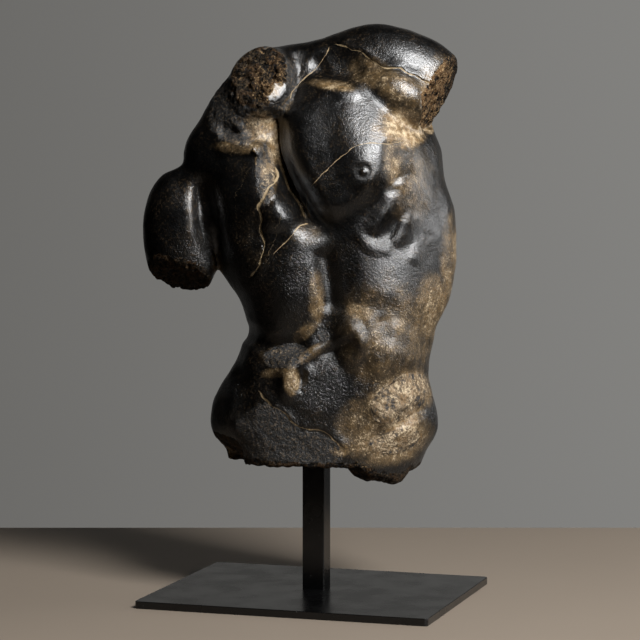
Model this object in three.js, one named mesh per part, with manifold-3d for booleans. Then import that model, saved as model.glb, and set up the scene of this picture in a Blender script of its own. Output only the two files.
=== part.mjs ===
// A headless torso of cast resin on a square steel post and a rectangular steel base plate.
// Lengths are in millimetres and +Z is up. The origin is the middle of the plate's underside,
// with X along the plate's long side.

import * as THREE from "three";
import { mergeVertices } from "three/addons/utils/BufferGeometryUtils.js";
import Module from "manifold-3d";

// Driving dimensions
const plateLength = 347;
const plateWidth = 278;
const plateThickness = 8.7;
const plateCorner = 4.5;
const plateEdge = 0.6;
const postSide = 26.5;
const postCorner = 1.6;
const postSetBack = 9;
const postSetLeft = 2;
const standHeight = 145;
const torsoHeight = 533;
const torsoTurn = 17.7;
const socketDepth = 36;
const socketClearance = 0.3;

// The tables below draw the torso at this height, seen from this eye point in front of it.
// Its own frame has X to the viewer's right, Y away from the viewer and Z up, and its zero is
// where the post's axis meets the underside. Right and left in names are the figure's own.
const drawnHeight = 533;
const eyeDistance = 2957;
const eyeHeight = 394;

// Lines that run up the trunk, in order round it: how far across the picture each one is at the
// heights, and how deep it lies there, with the viewer's side negative
const HEIGHTS = [-20, 15, 45, 75, 100, 125, 145, 165, 195, 230, 265, 300, 335, 370, 405, 435, 465];
const LINES = [
  ["right side",
    [-92, -108, -123, -121, -108, -93, -86, -81, -90, -112, -118, -124, -134, -146, -131, -114, -90],
    [20, 20, 18, 15, 12, 10, 8, 6, 4, 4, 6, 8, 8, 6, 6, 6, 10]],
  ["right front quarter",
    [-86, -94, -110, -110, -98, -86, -80, -76, -84, -104, -112, -118, -126, -134, -120, -103, -80],
    [-14, -16, -18, -18, -20, -22, -22, -22, -22, -18, -16, -14, -10, -12, -14, -16, -10]],
  ["right outer",
    [-76, -82, -92, -94, -84, -76, -70, -66, -72, -86, -100, -108, -114, -118, -106, -90, -65],
    [-40, -42, -44, -42, -42, -42, -42, -44, -48, -50, -48, -46, -40, -34, -32, -32, -20]],
  ["right crest",
    [-56, -60, -64, -64, -58, -52, -48, -42, -44, -52, -68, -80, -86, -92, -86, -74, -45],
    [-58, -62, -64, -64, -62, -62, -60, -68, -76, -76, -68, -68, -62, -50, -44, -42, -26]],
  ["right inner",
    [-32, -34, -36, -36, -34, -30, -20, -14, -12, -16, -32, -50, -58, -66, -64, -52, -30],
    [-68, -72, -76, -78, -80, -78, -68, -74, -82, -82, -80, -80, -69, -55, -46, -42, -26]],
  ["midline",
    [-6, -6, -8, -10, -8, -6, 4, 14, 17, 12, 3, -16, -36, -49, -48, -34, -20],
    [-72, -76, -82, -86, -86, -84, -72, -72, -78, -78, -77, -66, -54, -44, -38, -30, -24]],
  ["left inner",
    [22, 24, 24, 22, 26, 28, 32, 34, 35, 31, 22, 4, -16, -30, -31, -14, -5],
    [-74, -80, -86, -90, -90, -86, -82, -84, -84, -82, -80, -83, -80, -70, -60, -46, -24]],
  ["left crest",
    [50, 54, 56, 52, 54, 54, 54, 58, 60, 56, 50, 36, 24, 14, 8, 12, 15],
    [-74, -82, -90, -92, -94, -94, -98, -98, -96, -90, -86, -92, -91, -83, -71, -54, -27]],
  ["left outer",
    [76, 82, 86, 82, 82, 84, 84, 86, 87, 87, 83, 70, 62, 58, 48, 45, 45],
    [-66, -76, -88, -90, -92, -94, -96, -96, -96, -90, -82, -90, -98, -92, -76, -58, -30]],
  ["left front",
    [96, 104, 112, 108, 104, 106, 106, 108, 112, 114, 113, 106, 98, 92, 80, 78, 68],
    [-48, -58, -68, -72, -76, -80, -82, -82, -82, -78, -72, -74, -80, -80, -67, -48, -26]],
  ["left front quarter",
    [108, 120, 132, 128, 122, 122, 124, 129, 139, 143, 144, 139, 130, 124, 112, 104, 82],
    [-20, -26, -32, -34, -38, -42, -44, -44, -44, -44, -42, -42, -42, -38, -28, -16, -10]],
  ["left side",
    [113, 128, 142, 138, 131, 132, 136, 141, 155, 162, 163, 160, 149, 144, 130, 118, 90],
    [20, 20, 18, 14, 12, 10, 8, 6, 4, 4, 6, 8, 10, 12, 12, 12, 10]],
  ["left back quarter",
    [108, 120, 128, 126, 122, 120, 122, 126, 140, 148, 150, 148, 140, 136, 124, 112, 84],
    [48, 54, 56, 54, 50, 44, 40, 38, 38, 42, 46, 52, 56, 56, 54, 48, 40]],
  ["left back",
    [68, 76, 80, 80, 80, 78, 78, 80, 86, 92, 96, 98, 96, 94, 88, 84, 60],
    [84, 98, 102, 94, 80, 68, 62, 60, 62, 68, 76, 84, 90, 88, 80, 68, 52]],
  ["left of the spine",
    [32, 34, 34, 36, 38, 38, 38, 38, 40, 42, 44, 44, 44, 44, 40, 36, 30],
    [82, 94, 98, 88, 74, 66, 64, 66, 70, 74, 78, 82, 84, 84, 80, 72, 56]],
  ["spine",
    [8, 9, 9, 8, 6, 5, 5, 4, 2, -2, -6, -10, -12, -14, -12, -10, -5],
    [68, 74, 76, 70, 60, 54, 53, 54, 58, 62, 66, 70, 72, 72, 70, 66, 54]],
  ["right of the spine",
    [-16, -16, -18, -24, -26, -26, -26, -28, -34, -42, -48, -54, -58, -60, -56, -48, -35],
    [80, 92, 94, 84, 70, 62, 60, 62, 66, 72, 76, 82, 84, 82, 78, 70, 54]],
  ["right back",
    [-50, -56, -62, -66, -62, -58, -58, -60, -68, -80, -88, -94, -100, -104, -96, -82, -60],
    [80, 94, 98, 88, 72, 58, 52, 50, 54, 60, 66, 74, 78, 78, 72, 62, 48]],
  ["right back quarter",
    [-80, -88, -104, -106, -98, -84, -78, -76, -86, -104, -110, -116, -128, -138, -122, -104, -80],
    [42, 48, 50, 48, 42, 36, 32, 30, 30, 34, 36, 40, 40, 42, 42, 38, 34]],
];
const RIGHT_SIDE = LINES.findIndex(([name]) => name === "right side");
const LEFT_SIDE = LINES.findIndex(([name]) => name === "left side");
const TRUNK_DEPTH = 8;
const TRUNK_TOP = 466;
const TRUNK_TOP_MELT = 26;

// Round masses joined to the trunk: place, half sizes, turn in degrees and melt
const MASSES = [
  ["nape", [-22, 22, 454], [52, 40, 38], [0, 0, 0], 16],
  ["right armpit", [-126, 10, 292], [24, 30, 62], [4, 0, 0], 8],
  ["left deltoid", [104, 2, 457], [80, 48, 48], [27, 0, 0], 14],
  ["left shoulder top", [42, 14, 462], [64, 42, 44], [-6, 0, 0], 20],
  ["left arm", [122, 2, 446], [46, 40, 46], [35, 0, 0], 12],
  ["left under arm", [97, -25, 431], [47, 41, 31], [28, 0, 0], 12],
  ["right deltoid", [-165, 12, 281], [42, 30, 64], [2, 0, -37], 8],
  ["right upper arm", [-158, 16, 246], [45, 32, 58], [-4, 0, -37], 12],
  ["right shoulder", [-113, 18, 360], [38, 46, 56], [26, 0, 0], 20],
  ["right shoulder top", [-82, 20, 408], [38, 44, 42], [34, 0, 0], 18],
  ["neck", [-61, -8, 442], [40, 60, 46], [10, 0, 0], 12],
];

// Soft rises and hollows of the front: place in the picture, half sizes, turn and rise
const SWELLS = [
  ["hollow under the left clavicle", [24, 464], [36, 26], -10, -6],
  ["beside the neck", [-12, 456], [30, 34], 0, -5],
  ["nipple ground", [54, 344], [12, 12], 0, -1.6],
  ["nipple", [55, 343], [4.5, 4.5], 0, 2.8],
  ["between the ribs", [86, 280], [12, 20], -30, -2.5],
  ["behind the ribs", [132, 290], [20, 34], -20, -1.6],
  ["bump beside the fold", [41, 142], [23, 36], 6, 8],
  ["second bump beside the fold", [82, 122], [30, 30], 0, 5],
  ["left flank", [94, 138], [36, 34], 0, 3],
  ["right chest bump", [-38, 296], [32, 22], 40, 4.5],
  ["navel bump", [-30, 97], [18, 28], -8, 6],
  ["navel hole", [-18, 103], [8, 13], 0, -6],
  ["lower belly dimple", [44, 52], [24, 32], -30, -4],
  ["hollow under the fold", [16, 106], [60, 44], 20, -4],
  ["neck pit", [-66, 392], [22, 22], 0, -6],
  ["pebble", [-90, 395], [8, 7], 0, 4],
];

// Ridges and furrows of the front: path in the picture, half width and rise
const CREASES = [
  ["inner edge of the right arm", [[-150, 344], [-149, 315], [-148, 285], [-150, 262]], 12, 0.8],
  ["breastbone valley",
    [[-36, 418], [-43, 392], [-41, 365], [-30, 335], [-15, 305], [-4, 284], [6, 262]], 28, -9],
  ["belly line", [[6, 258], [10, 240], [13, 220], [16, 200], [18, 186], [20, 176]], 17, -9],
  ["under the right roll", [[-96, 164], [-74, 152], [-58, 142], [-28, 139], [-4, 148]], 16, -7],
  ["fold",
    [[-66, 108], [-50, 109], [-34, 114], [-17, 123], [1, 135], [17, 143], [34, 153], [48, 166]], 9, 3],
  ["above the fold", [[-20, 132], [0, 146], [18, 155], [36, 168], [48, 178]], 22, 5],
  ["under the fold", [[-14, 112], [1, 123], [18, 132], [38, 141], [54, 146]], 17, -4],
  ["foot of the ribs", [[40, 200], [60, 188], [82, 182], [104, 184]], 20, -3],
  ["beside the bump", [[74, 178], [78, 152], [68, 124]], 15, -3],
  ["foot of the first rib", [[48, 274], [58, 260], [72, 254], [92, 254]], 12, 2.6],
  ["first rib", [[92, 324], [82, 304], [66, 278], [60, 268]], 14, 2.6],
  ["second rib", [[116, 298], [106, 280], [94, 262], [90, 254]], 13, 2.6],
  ["third rib", [[136, 276], [126, 260], [114, 242], [110, 234]], 14, 2.2],
  ["under the left pectoral", [[-12, 290], [14, 284], [40, 290], [62, 302], [80, 322], [92, 346]], 22, -5],
  ["clavicle", [[-8, 450], [15, 443], [35, 438], [60, 440]], 16, 3],
  ["beside the left pectoral", [[94, 384], [94, 362], [94, 345], [100, 328]], 22, -4],
  ["front edge of the latissimus", [[118, 392], [124, 362], [130, 340], [136, 318], [140, 290]], 22, 1.5],
  ["iliac patch", [[128, 108], [118, 92], [102, 78], [82, 62], [64, 48]], 24, 4],
  ["groin line", [[130, 72], [108, 57], [88, 44], [72, 33], [58, 28]], 13, -5],
  ["arm groove", [[-132, 350], [-132, 320], [-130, 280], [-124, 250], [-116, 232]], 16, -6],
  ["navel slit", [[-19, 108], [-19, 96], [-22, 84]], 6, -4],
  ["top of the right pectoral", [[-122, 366], [-95, 373], [-72, 371], [-54, 362]], 15, 4],
  ["above the right pectoral", [[-116, 390], [-90, 390], [-66, 382]], 15, -5],
  ["down the right chest", [[-64, 350], [-60, 320], [-68, 290], [-66, 255]], 14, -1.5],
  ["right groin", [[-92, 120], [-84, 90], [-86, 60], [-92, 40]], 18, -4],
];

// Round hollows cut into the torso: place, half sizes, turn in degrees and melt
const HOLLOWS = [
  ["left armpit", [108, -94, 402], [38, 34, 22], [30, 30, 0], 6],
];

// Broken faces: a point on each, the way it faces, its reach, its melt and its roughness
const BREAKS = [
  ["right arm", [-165, 20, 217], [-0.3, -0.49, -0.82], 72, 4, 2.8],
  ["left arm", [146, -12, 447], [0.87, -0.28, -0.41], 60, 3, 1.6],
  ["neck", [-62, -46, 446], [-0.3, -0.8, 0.52], 56, 7, 6.0],
  ["neck facet", [-42, -56, 432], [0.35, -0.88, 0.32], 17, 2, 0.2],
  ["right hip", [-104, -6, 27], [-0.5, -0.25, -0.83], 34, 4, 1.4],
];

// The broken underside: its level, its fall to the back, and how much lower its lumps hang
const UNDERSIDE_FRONT = 6;
const UNDERSIDE_FALL = 3;
const UNDERSIDE_FALL_STARTS = -50;
const UNDERSIDE_FALL_ENDS = 30;
const UNDERSIDE_MELT = 4;
const UNDERSIDE_ROUGHNESS = 1.6;
const UNDERSIDE_LUMPS = [
  [[70, -30], [42, 60], 0, 19],
  [[108, -20], [34, 80], 0, 9],
];

// Relief fades out from the front to the sides between these depths
const RELIEF_STARTS = 34;
const RELIEF_FULL = -14;

// The grid on which the torso's surface is found, in drawn millimetres
const GRID_STEP = 12.4;
const GRID_LOW = [-222, -130, -36];
const GRID_HIGH = [190, 132, 536];

const { clamp, degToRad } = THREE.MathUtils;

// Curves and blends

function smoothStep(from, to, at) {
  const share = clamp((at - from) / (to - from), 0, 1);
  return share * share * (3 - 2 * share);
}

// Two forms joined, with the seam between them filled over the melt
function joined(one, other, melt) {
  const share = clamp(0.5 + (0.5 * (other - one)) / melt, 0, 1);
  return other * (1 - share) + one * share - melt * share * (1 - share);
}

function common(one, other, melt) {
  return -joined(-one, -other, melt);
}

function slopesOf(places, values) {
  const last = places.length - 1;
  return values.map((value, i) => {
    const before = Math.max(i - 1, 0);
    const after = Math.min(i + 1, last);
    return (values[after] - values[before]) / (places[after] - places[before]);
  });
}

// The smooth curve through the values at the places
function curveAt(curve, at) {
  const { places, values, slopes } = curve;
  let i = 0;
  while (i < places.length - 2 && places[i + 1] <= at) {
    i += 1;
  }
  const span = places[i + 1] - places[i];
  const t = (at - places[i]) / span;
  const start = (1 + 2 * t) * (1 - t) * (1 - t) * values[i] + t * (1 - t) * (1 - t) * span * slopes[i];
  const end = t * t * (3 - 2 * t) * values[i + 1] + t * t * (t - 1) * span * slopes[i + 1];
  return start + end;
}

function curveThrough(places, values) {
  return { places, values, slopes: slopesOf(places, values) };
}

// Uneven but repeatable roughness between about -1 and 1
function ripple(x, y, z, size) {
  const [a, b, c] = [x / size, y / size, z / size];
  const across = Math.sin(2.1 * a + 1.3 * Math.sin(1.7 * b + 0.5));
  const broad = across * Math.cos(1.9 * c + 1.1 * Math.sin(1.3 * a));
  const fine = Math.sin(3.7 * b + 2.3 * c + 2 * Math.sin(2.9 * a));
  return 0.6 * broad + 0.4 * fine;
}
const BREAK_RIPPLE = 7;
const UNDERSIDE_RIPPLE = 8;

// The picture plane: the plane through the post's axis that faces the eye point

function pictureOf(x, y, z) {
  const scale = eyeDistance / (y + eyeDistance);
  return [x * scale, eyeHeight + (z - eyeHeight) * scale];
}

const trunkLines = LINES.map(([, across, depth]) => {
  const scales = depth.map((y) => 1 + y / eyeDistance);
  const heights = HEIGHTS.map((height, i) => eyeHeight + (height - eyeHeight) * scales[i]);
  return {
    low: heights[0],
    high: heights[heights.length - 1],
    across: curveThrough(heights, across.map((x, i) => x * scales[i])),
    depth: curveThrough(heights, depth),
  };
});

// The trunk's outline at a height: each line's angle and distance from the middle
function trunkLoop(height) {
  const points = trunkLines.map((line) => {
    const at = clamp(height, line.low, line.high);
    return [curveAt(line.across, at), curveAt(line.depth, at)];
  });
  const middle = (points[RIGHT_SIDE][0] + points[LEFT_SIDE][0]) / 2;
  const angles = [];
  const distances = [];
  for (const [x, y] of points) {
    let angle = Math.atan2(y - TRUNK_DEPTH, x - middle);
    while (angles.length > 0 && angle < angles[angles.length - 1]) {
      angle += 2 * Math.PI;
    }
    angles.push(angle);
    distances.push(Math.hypot(x - middle, y - TRUNK_DEPTH));
  }
  const turns = [-2 * Math.PI, 0, 2 * Math.PI];
  const places = turns.flatMap((turn) => angles.map((angle) => angle + turn));
  return { middle, curve: curveThrough(places, [...distances, ...distances, ...distances]) };
}

const loopCache = new Map();

function loopAt(height) {
  const key = Math.round(height * 1000);
  if (!loopCache.has(key)) {
    loopCache.set(key, trunkLoop(height));
  }
  return loopCache.get(key);
}

function beyondLoop(x, y, z) {
  const { middle, curve } = loopAt(z);
  const angle = Math.atan2(y - TRUNK_DEPTH, x - middle);
  return Math.hypot(x - middle, y - TRUNK_DEPTH) - curveAt(curve, angle);
}

const TRUNK_LEAST_SLOPE = 0.5;

function trunk(x, y, z) {
  const here = beyondLoop(x, y, z);
  const slopeX = beyondLoop(x + 1, y, z) - here;
  const slopeY = beyondLoop(x, y + 1, z) - here;
  const slopeZ = beyondLoop(x, y, z + 1) - here;
  const distance = here / Math.max(Math.hypot(slopeX, slopeY, slopeZ), TRUNK_LEAST_SLOPE);
  return common(distance, z - TRUNK_TOP, TRUNK_TOP_MELT);
}

// An egg-shaped mass: its turn is a roll in the picture plane, a nod and a turn about the upright
const turnMatrix = new THREE.Matrix4();
const rollMatrix = new THREE.Matrix4();

function turnedBack(turn) {
  const [roll, nod, yaw] = turn.map(degToRad);
  turnMatrix.makeRotationZ(yaw);
  turnMatrix.multiply(rollMatrix.makeRotationX(nod));
  turnMatrix.multiply(rollMatrix.makeRotationY(roll));
  return new THREE.Matrix3().setFromMatrix4(turnMatrix).transpose();
}

function eggOf([, at, size, turn, melt]) {
  return { at, size, melt, back: turnedBack(turn) };
}

const masses = MASSES.map(eggOf);
const hollows = HOLLOWS.map(eggOf);
const eggPoint = new THREE.Vector3();

function egg(mass, x, y, z) {
  eggPoint.set(x - mass.at[0], y - mass.at[1], z - mass.at[2]).applyMatrix3(mass.back);
  const parts = [eggPoint.x / mass.size[0], eggPoint.y / mass.size[1], eggPoint.z / mass.size[2]];
  const reach = Math.hypot(...parts);
  const slope = Math.hypot(...parts.map((part, i) => part / mass.size[i]));
  return (reach * (reach - 1)) / Math.max(slope, 1e-6);
}

// The relief of the front, drawn on the picture plane

function swell(u, v, at, size, turn) {
  const angle = degToRad(turn);
  const along = (Math.cos(angle) * (u - at[0]) + Math.sin(angle) * (v - at[1])) / size[0];
  const across = (-Math.sin(angle) * (u - at[0]) + Math.cos(angle) * (v - at[1])) / size[1];
  return smoothStep(0, 1, 1 - along * along - across * across);
}

const PATH_POINTS_PER_SPAN = 4;
const creases = CREASES.map(([, path, halfWidth, rise]) => {
  const corners = path.map(([u, v]) => new THREE.Vector2(u, v));
  const points = new THREE.SplineCurve(corners).getPoints(PATH_POINTS_PER_SPAN * (path.length - 1));
  const runs = [0];
  for (let i = 1; i < points.length; i += 1) {
    runs.push(runs[i - 1] + points[i].distanceTo(points[i - 1]));
  }
  return { points, runs, halfWidth, rise, box: new THREE.Box2().setFromPoints(points) };
});
const CREASE_FADE = 0.2;

function creaseRise(crease, u, v) {
  const { points, runs, halfWidth, rise, box } = crease;
  if (box.distanceToPoint(new THREE.Vector2(u, v)) > halfWidth) {
    return 0;
  }
  let nearest = Infinity;
  let share = 0;
  for (let i = 1; i < points.length; i += 1) {
    const [from, to] = [points[i - 1], points[i]];
    const [du, dv] = [to.x - from.x, to.y - from.y];
    const t = clamp(((u - from.x) * du + (v - from.y) * dv) / (du * du + dv * dv), 0, 1);
    const distance = Math.hypot(u - from.x - t * du, v - from.y - t * dv);
    if (distance < nearest) {
      nearest = distance;
      share = (runs[i - 1] + t * (runs[i] - runs[i - 1])) / runs[runs.length - 1];
    }
  }
  const profile = Math.max(1 - (nearest / halfWidth) ** 2, 0) ** 2;
  const fade = smoothStep(0, CREASE_FADE, share) * smoothStep(1, 1 - CREASE_FADE, share);
  return rise * profile * fade;
}

function relief(x, y, z) {
  const [u, v] = pictureOf(x, y, z);
  const swells = SWELLS.reduce(
    (sum, [, at, size, turn, rise]) => sum + rise * swell(u, v, at, size, turn),
    0,
  );
  const lines = creases.reduce((sum, crease) => sum + creaseRise(crease, u, v), 0);
  return (swells + lines) * smoothStep(RELIEF_STARTS, RELIEF_FULL, y);
}

// Broken faces

const breaks = BREAKS.map(([, at, facing, reach, melt, roughness]) => ({
  at: new THREE.Vector3(...at),
  facing: new THREE.Vector3(...facing).normalize(),
  reach,
  melt,
  roughness,
}));
const breakPoint = new THREE.Vector3();

function broken(form, face, x, y, z) {
  breakPoint.set(x, y, z).sub(face.at);
  const beyond = breakPoint.dot(face.facing) + face.roughness * ripple(x, y, z, BREAK_RIPPLE);
  const within = face.reach - breakPoint.length();
  return common(form, Math.min(beyond, within), face.melt);
}

function undersideLevel(x, y) {
  const lumps = UNDERSIDE_LUMPS.reduce(
    (sum, [at, size, turn, drop]) => sum + drop * swell(x, y, at, size, turn),
    0,
  );
  return UNDERSIDE_FRONT - UNDERSIDE_FALL * smoothStep(UNDERSIDE_FALL_STARTS, UNDERSIDE_FALL_ENDS, y) - lumps;
}

// The whole torso: below zero inside, above zero outside
function torsoField(x, y, z) {
  let form = trunk(x, y, z);
  for (const mass of masses) {
    form = joined(form, egg(mass, x, y, z), mass.melt);
  }
  form -= relief(x, y, z);
  for (const hollow of hollows) {
    form = common(form, -egg(hollow, x, y, z), hollow.melt);
  }
  for (const face of breaks) {
    form = broken(form, face, x, y, z);
  }
  const below = undersideLevel(x, y) - z + UNDERSIDE_ROUGHNESS * ripple(x, y, z, UNDERSIDE_RIPPLE);
  return common(form, below, UNDERSIDE_MELT);
}

// A closed mesh of the surface where a field passes zero: one point in each grid cell that the
// surface crosses, and one four-sided face round each grid edge that it crosses

const AXES = [[1, 0, 0], [0, 1, 0], [0, 0, 1]];
const CELL_CORNERS = [
  [0, 0, 0], [1, 0, 0], [0, 1, 0], [1, 1, 0],
  [0, 0, 1], [1, 0, 1], [0, 1, 1], [1, 1, 1],
];
const CELL_EDGES = [
  [0, 1], [2, 3], [4, 5], [6, 7],
  [0, 2], [1, 3], [4, 6], [5, 7],
  [0, 4], [1, 5], [2, 6], [3, 7],
];
const CELL_FACES = [
  [0, 1, 3, 2], [4, 5, 7, 6], [0, 1, 5, 4],
  [2, 3, 7, 6], [0, 2, 6, 4], [1, 3, 7, 5],
];
const CELL_DIAGONALS = [[0, 7], [1, 6], [2, 5], [3, 4]];
const JUST_INSIDE = -0.5;

function sampledGrid(field, low, high, step) {
  const count = low.map((from, axis) => Math.ceil((high[axis] - from) / step) + 1);
  const values = new Float64Array(count[0] * count[1] * count[2]);
  const indexOf = (i, j, k) => (k * count[1] + j) * count[0] + i;
  for (let k = 0; k < count[2]; k += 1) {
    for (let j = 0; j < count[1]; j += 1) {
      for (let i = 0; i < count[0]; i += 1) {
        values[indexOf(i, j, k)] = field(low[0] + i * step, low[1] + j * step, low[2] + k * step);
      }
    }
  }
  return { values, count, indexOf, low, step };
}

function forEachCell(grid, visit) {
  for (let k = 0; k < grid.count[2] - 1; k += 1) {
    for (let j = 0; j < grid.count[1] - 1; j += 1) {
      for (let i = 0; i < grid.count[0] - 1; i += 1) {
        visit([i, j, k], CELL_CORNERS.map(([a, b, c]) => grid.indexOf(i + a, j + b, k + c)));
      }
    }
  }
}

// Fills the corners where two parts of the form would touch at an edge or a point only
function fillPinches(grid) {
  const { values } = grid;
  const inside = (at) => values[at] < 0;
  let filled = true;
  const fill = (ats) => {
    for (const at of ats) {
      values[at] = Math.min(values[at], JUST_INSIDE);
    }
    filled = true;
  };
  while (filled) {
    filled = false;
    forEachCell(grid, (cell, corners) => {
      for (const face of CELL_FACES) {
        const [a, b, c, d] = face.map((corner) => corners[corner]);
        if (inside(a) === inside(c) && inside(b) === inside(d) && inside(a) !== inside(b)) {
          fill([a, b, c, d]);
        }
      }
      const insideCount = corners.filter(inside).length;
      for (const [a, b] of CELL_DIAGONALS) {
        const same = inside(corners[a]) === inside(corners[b]);
        const alone = insideCount === (inside(corners[a]) ? 2 : 6);
        if (same && alone) {
          fill(corners);
        }
      }
    });
  }
}

function crossingPoint(grid, cell, corners) {
  const point = new THREE.Vector3();
  let crossings = 0;
  for (const [a, b] of CELL_EDGES) {
    const [from, to] = [grid.values[corners[a]], grid.values[corners[b]]];
    if (from < 0 !== to < 0) {
      const t = from / (from - to);
      const corner = new THREE.Vector3(...CELL_CORNERS[a]);
      point.add(corner.lerp(new THREE.Vector3(...CELL_CORNERS[b]), t));
      crossings += 1;
    }
  }
  if (crossings === 0) {
    return null;
  }
  point.divideScalar(crossings).add(new THREE.Vector3(...cell)).multiplyScalar(grid.step);
  return point.add(new THREE.Vector3(...grid.low));
}

const SETTLE_PASSES = 3;
const LEAST_SLOPE_SQUARED = 0.2;

// Moves a point onto the surface, and no further than the limit
function settle(field, point, limit) {
  const start = point.clone();
  for (let pass = 0; pass < SETTLE_PASSES; pass += 1) {
    const here = field(point.x, point.y, point.z);
    const slope = new THREE.Vector3(
      field(point.x + 1, point.y, point.z) - here,
      field(point.x, point.y + 1, point.z) - here,
      field(point.x, point.y, point.z + 1) - here,
    );
    point.addScaledVector(slope, -here / Math.max(slope.lengthSq(), LEAST_SLOPE_SQUARED));
  }
  return point.sub(start).clampLength(0, limit).add(start);
}

const SPREAD_PASSES = 3;
const SPREAD_SHARE = 0.6;

// Draws each point towards the middle of its neighbours, so that the faces come out even
function spreadEvenly(field, points, quads, step) {
  const neighbours = points.map(() => new Set());
  for (const quad of quads) {
    quad.forEach((at, i) => {
      neighbours[at].add(quad[(i + 1) % 4]);
      neighbours[at].add(quad[(i + 3) % 4]);
    });
  }
  for (let pass = 0; pass < SPREAD_PASSES; pass += 1) {
    const middles = neighbours.map((around) => {
      const middle = new THREE.Vector3();
      around.forEach((at) => middle.add(points[at]));
      return middle.divideScalar(around.size);
    });
    points.forEach((point, at) => {
      point.lerp(middles[at], SPREAD_SHARE);
      settle(field, point, step / 4);
    });
  }
}

// Splits a four-sided face along its shorter diagonal
function twoTriangles(points, [a, b, c, d]) {
  if (points[a].distanceTo(points[c]) < points[b].distanceTo(points[d])) {
    return [a, b, c, a, c, d];
  }
  return [a, b, d, b, c, d];
}

function surfaceMesh(field, low, high, step) {
  const grid = sampledGrid(field, low, high, step);
  fillPinches(grid);
  const pointIn = new Map();
  const points = [];
  forEachCell(grid, (cell, corners) => {
    const point = crossingPoint(grid, cell, corners);
    if (point) {
      pointIn.set(corners[0], points.length);
      points.push(settle(field, point, step / 2));
    }
  });
  const quads = [];
  forEachCell(grid, (cell, corners) => {
    AXES.forEach((axis, direction) => {
      const from = grid.values[corners[0]];
      const to = grid.values[grid.indexOf(...cell.map((at, i) => at + axis[i]))];
      if (from < 0 === to < 0) {
        return;
      }
      const [one, other] = [AXES[(direction + 1) % 3], AXES[(direction + 2) % 3]];
      const around = [[0, 0], [1, 0], [1, 1], [0, 1]].map(([a, b]) => {
        const at = cell.map((value, i) => value - a * one[i] - b * other[i]);
        return pointIn.get(grid.indexOf(...at));
      });
      quads.push(from < 0 ? around : [...around].reverse());
    });
  });
  spreadEvenly(field, points, quads, step);
  const geometry = new THREE.BufferGeometry();
  geometry.setFromPoints(points);
  geometry.setIndex(quads.flatMap((quad) => twoTriangles(points, quad)));
  return geometry;
}

// Cutting one closed piece out of another

const wasm = await Module();
wasm.setup();

const MERGE_DISTANCE = 1e-4;

function solidOf(geometry) {
  const plain = geometry.clone();
  plain.deleteAttribute("normal");
  plain.deleteAttribute("uv");
  const merged = mergeVertices(plain, MERGE_DISTANCE);
  return new wasm.Manifold(new wasm.Mesh({
    numProp: 3,
    vertProperties: new Float32Array(merged.attributes.position.array),
    triVerts: new Uint32Array(merged.index.array),
  }));
}

function geometryOf(solid) {
  const { vertProperties, triVerts } = solid.getMesh();
  const geometry = new THREE.BufferGeometry();
  geometry.setAttribute("position", new THREE.BufferAttribute(vertProperties, 3));
  geometry.setIndex(new THREE.BufferAttribute(triVerts, 1));
  geometry.computeVertexNormals();
  return geometry;
}

// The pieces

const postPlace = new THREE.Vector3(-postSetLeft, postSetBack, plateThickness);
const torsoScale = torsoHeight / drawnHeight;

const CORNER_SEGMENTS = 4;

// A rectangle with rounded corners round the origin
function roundedRectangle(length, width, corner) {
  const [right, back] = [length / 2 - corner, width / 2 - corner];
  const shape = new THREE.Shape();
  shape.moveTo(-right, -back - corner);
  shape.absarc(right, -back, corner, -Math.PI / 2, 0);
  shape.absarc(right, back, corner, 0, Math.PI / 2);
  shape.absarc(-right, back, corner, Math.PI / 2, Math.PI);
  shape.absarc(-right, -back, corner, Math.PI, 1.5 * Math.PI);
  return shape;
}

// A square bar with rounded corners, standing on its end at the origin
function squareBar(side, corner, height) {
  const shape = roundedRectangle(side, side, corner);
  const options = { depth: height, bevelEnabled: false, curveSegments: CORNER_SEGMENTS };
  return new THREE.ExtrudeGeometry(shape, options);
}

function basePlate() {
  const shape = roundedRectangle(
    plateLength - 2 * plateEdge,
    plateWidth - 2 * plateEdge,
    plateCorner - plateEdge,
  );
  const geometry = new THREE.ExtrudeGeometry(shape, {
    depth: plateThickness - 2 * plateEdge,
    bevelThickness: plateEdge,
    bevelSize: plateEdge,
    bevelSegments: 2,
    curveSegments: 2 * CORNER_SEGMENTS,
  });
  geometry.translate(0, 0, plateEdge);
  const material = new THREE.MeshStandardMaterial({ color: "#17171a", roughness: 0.32, metalness: 0.2 });
  const mesh = new THREE.Mesh(geometry, material);
  mesh.name = "base_plate";
  return mesh;
}

function post() {
  const geometry = squareBar(postSide, postCorner, standHeight + socketDepth);
  const material = new THREE.MeshStandardMaterial({ color: "#17171a", roughness: 0.36, metalness: 0.2 });
  const mesh = new THREE.Mesh(geometry, material);
  mesh.name = "post";
  mesh.position.copy(postPlace);
  return mesh;
}

// The torso, with a blind square socket in its underside that the post's end fills
function torso() {
  const surface = surfaceMesh(torsoField, GRID_LOW, GRID_HIGH, GRID_STEP);
  surface.scale(torsoScale, torsoScale, torsoScale);
  const socket = squareBar(
    postSide + 2 * socketClearance,
    postCorner + socketClearance,
    standHeight + socketDepth + socketClearance,
  );
  socket.translate(0, 0, -standHeight);
  socket.rotateZ(-degToRad(torsoTurn));
  const geometry = geometryOf(solidOf(surface).subtract(solidOf(socket)));
  const material = new THREE.MeshStandardMaterial({ color: "#2a2420", roughness: 0.38, metalness: 0 });
  const mesh = new THREE.Mesh(geometry, material);
  mesh.name = "torso";
  const turned = new THREE.Group();
  turned.position.copy(postPlace);
  turned.position.z += standHeight;
  turned.rotation.z = degToRad(torsoTurn);
  turned.add(mesh);
  return turned;
}

const sculpture = new THREE.Group();
sculpture.add(basePlate());
sculpture.add(post());
sculpture.add(torso());

export default sculpture;
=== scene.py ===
import math

import bpy
import numpy as np
from mathutils import Matrix, Vector


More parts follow.
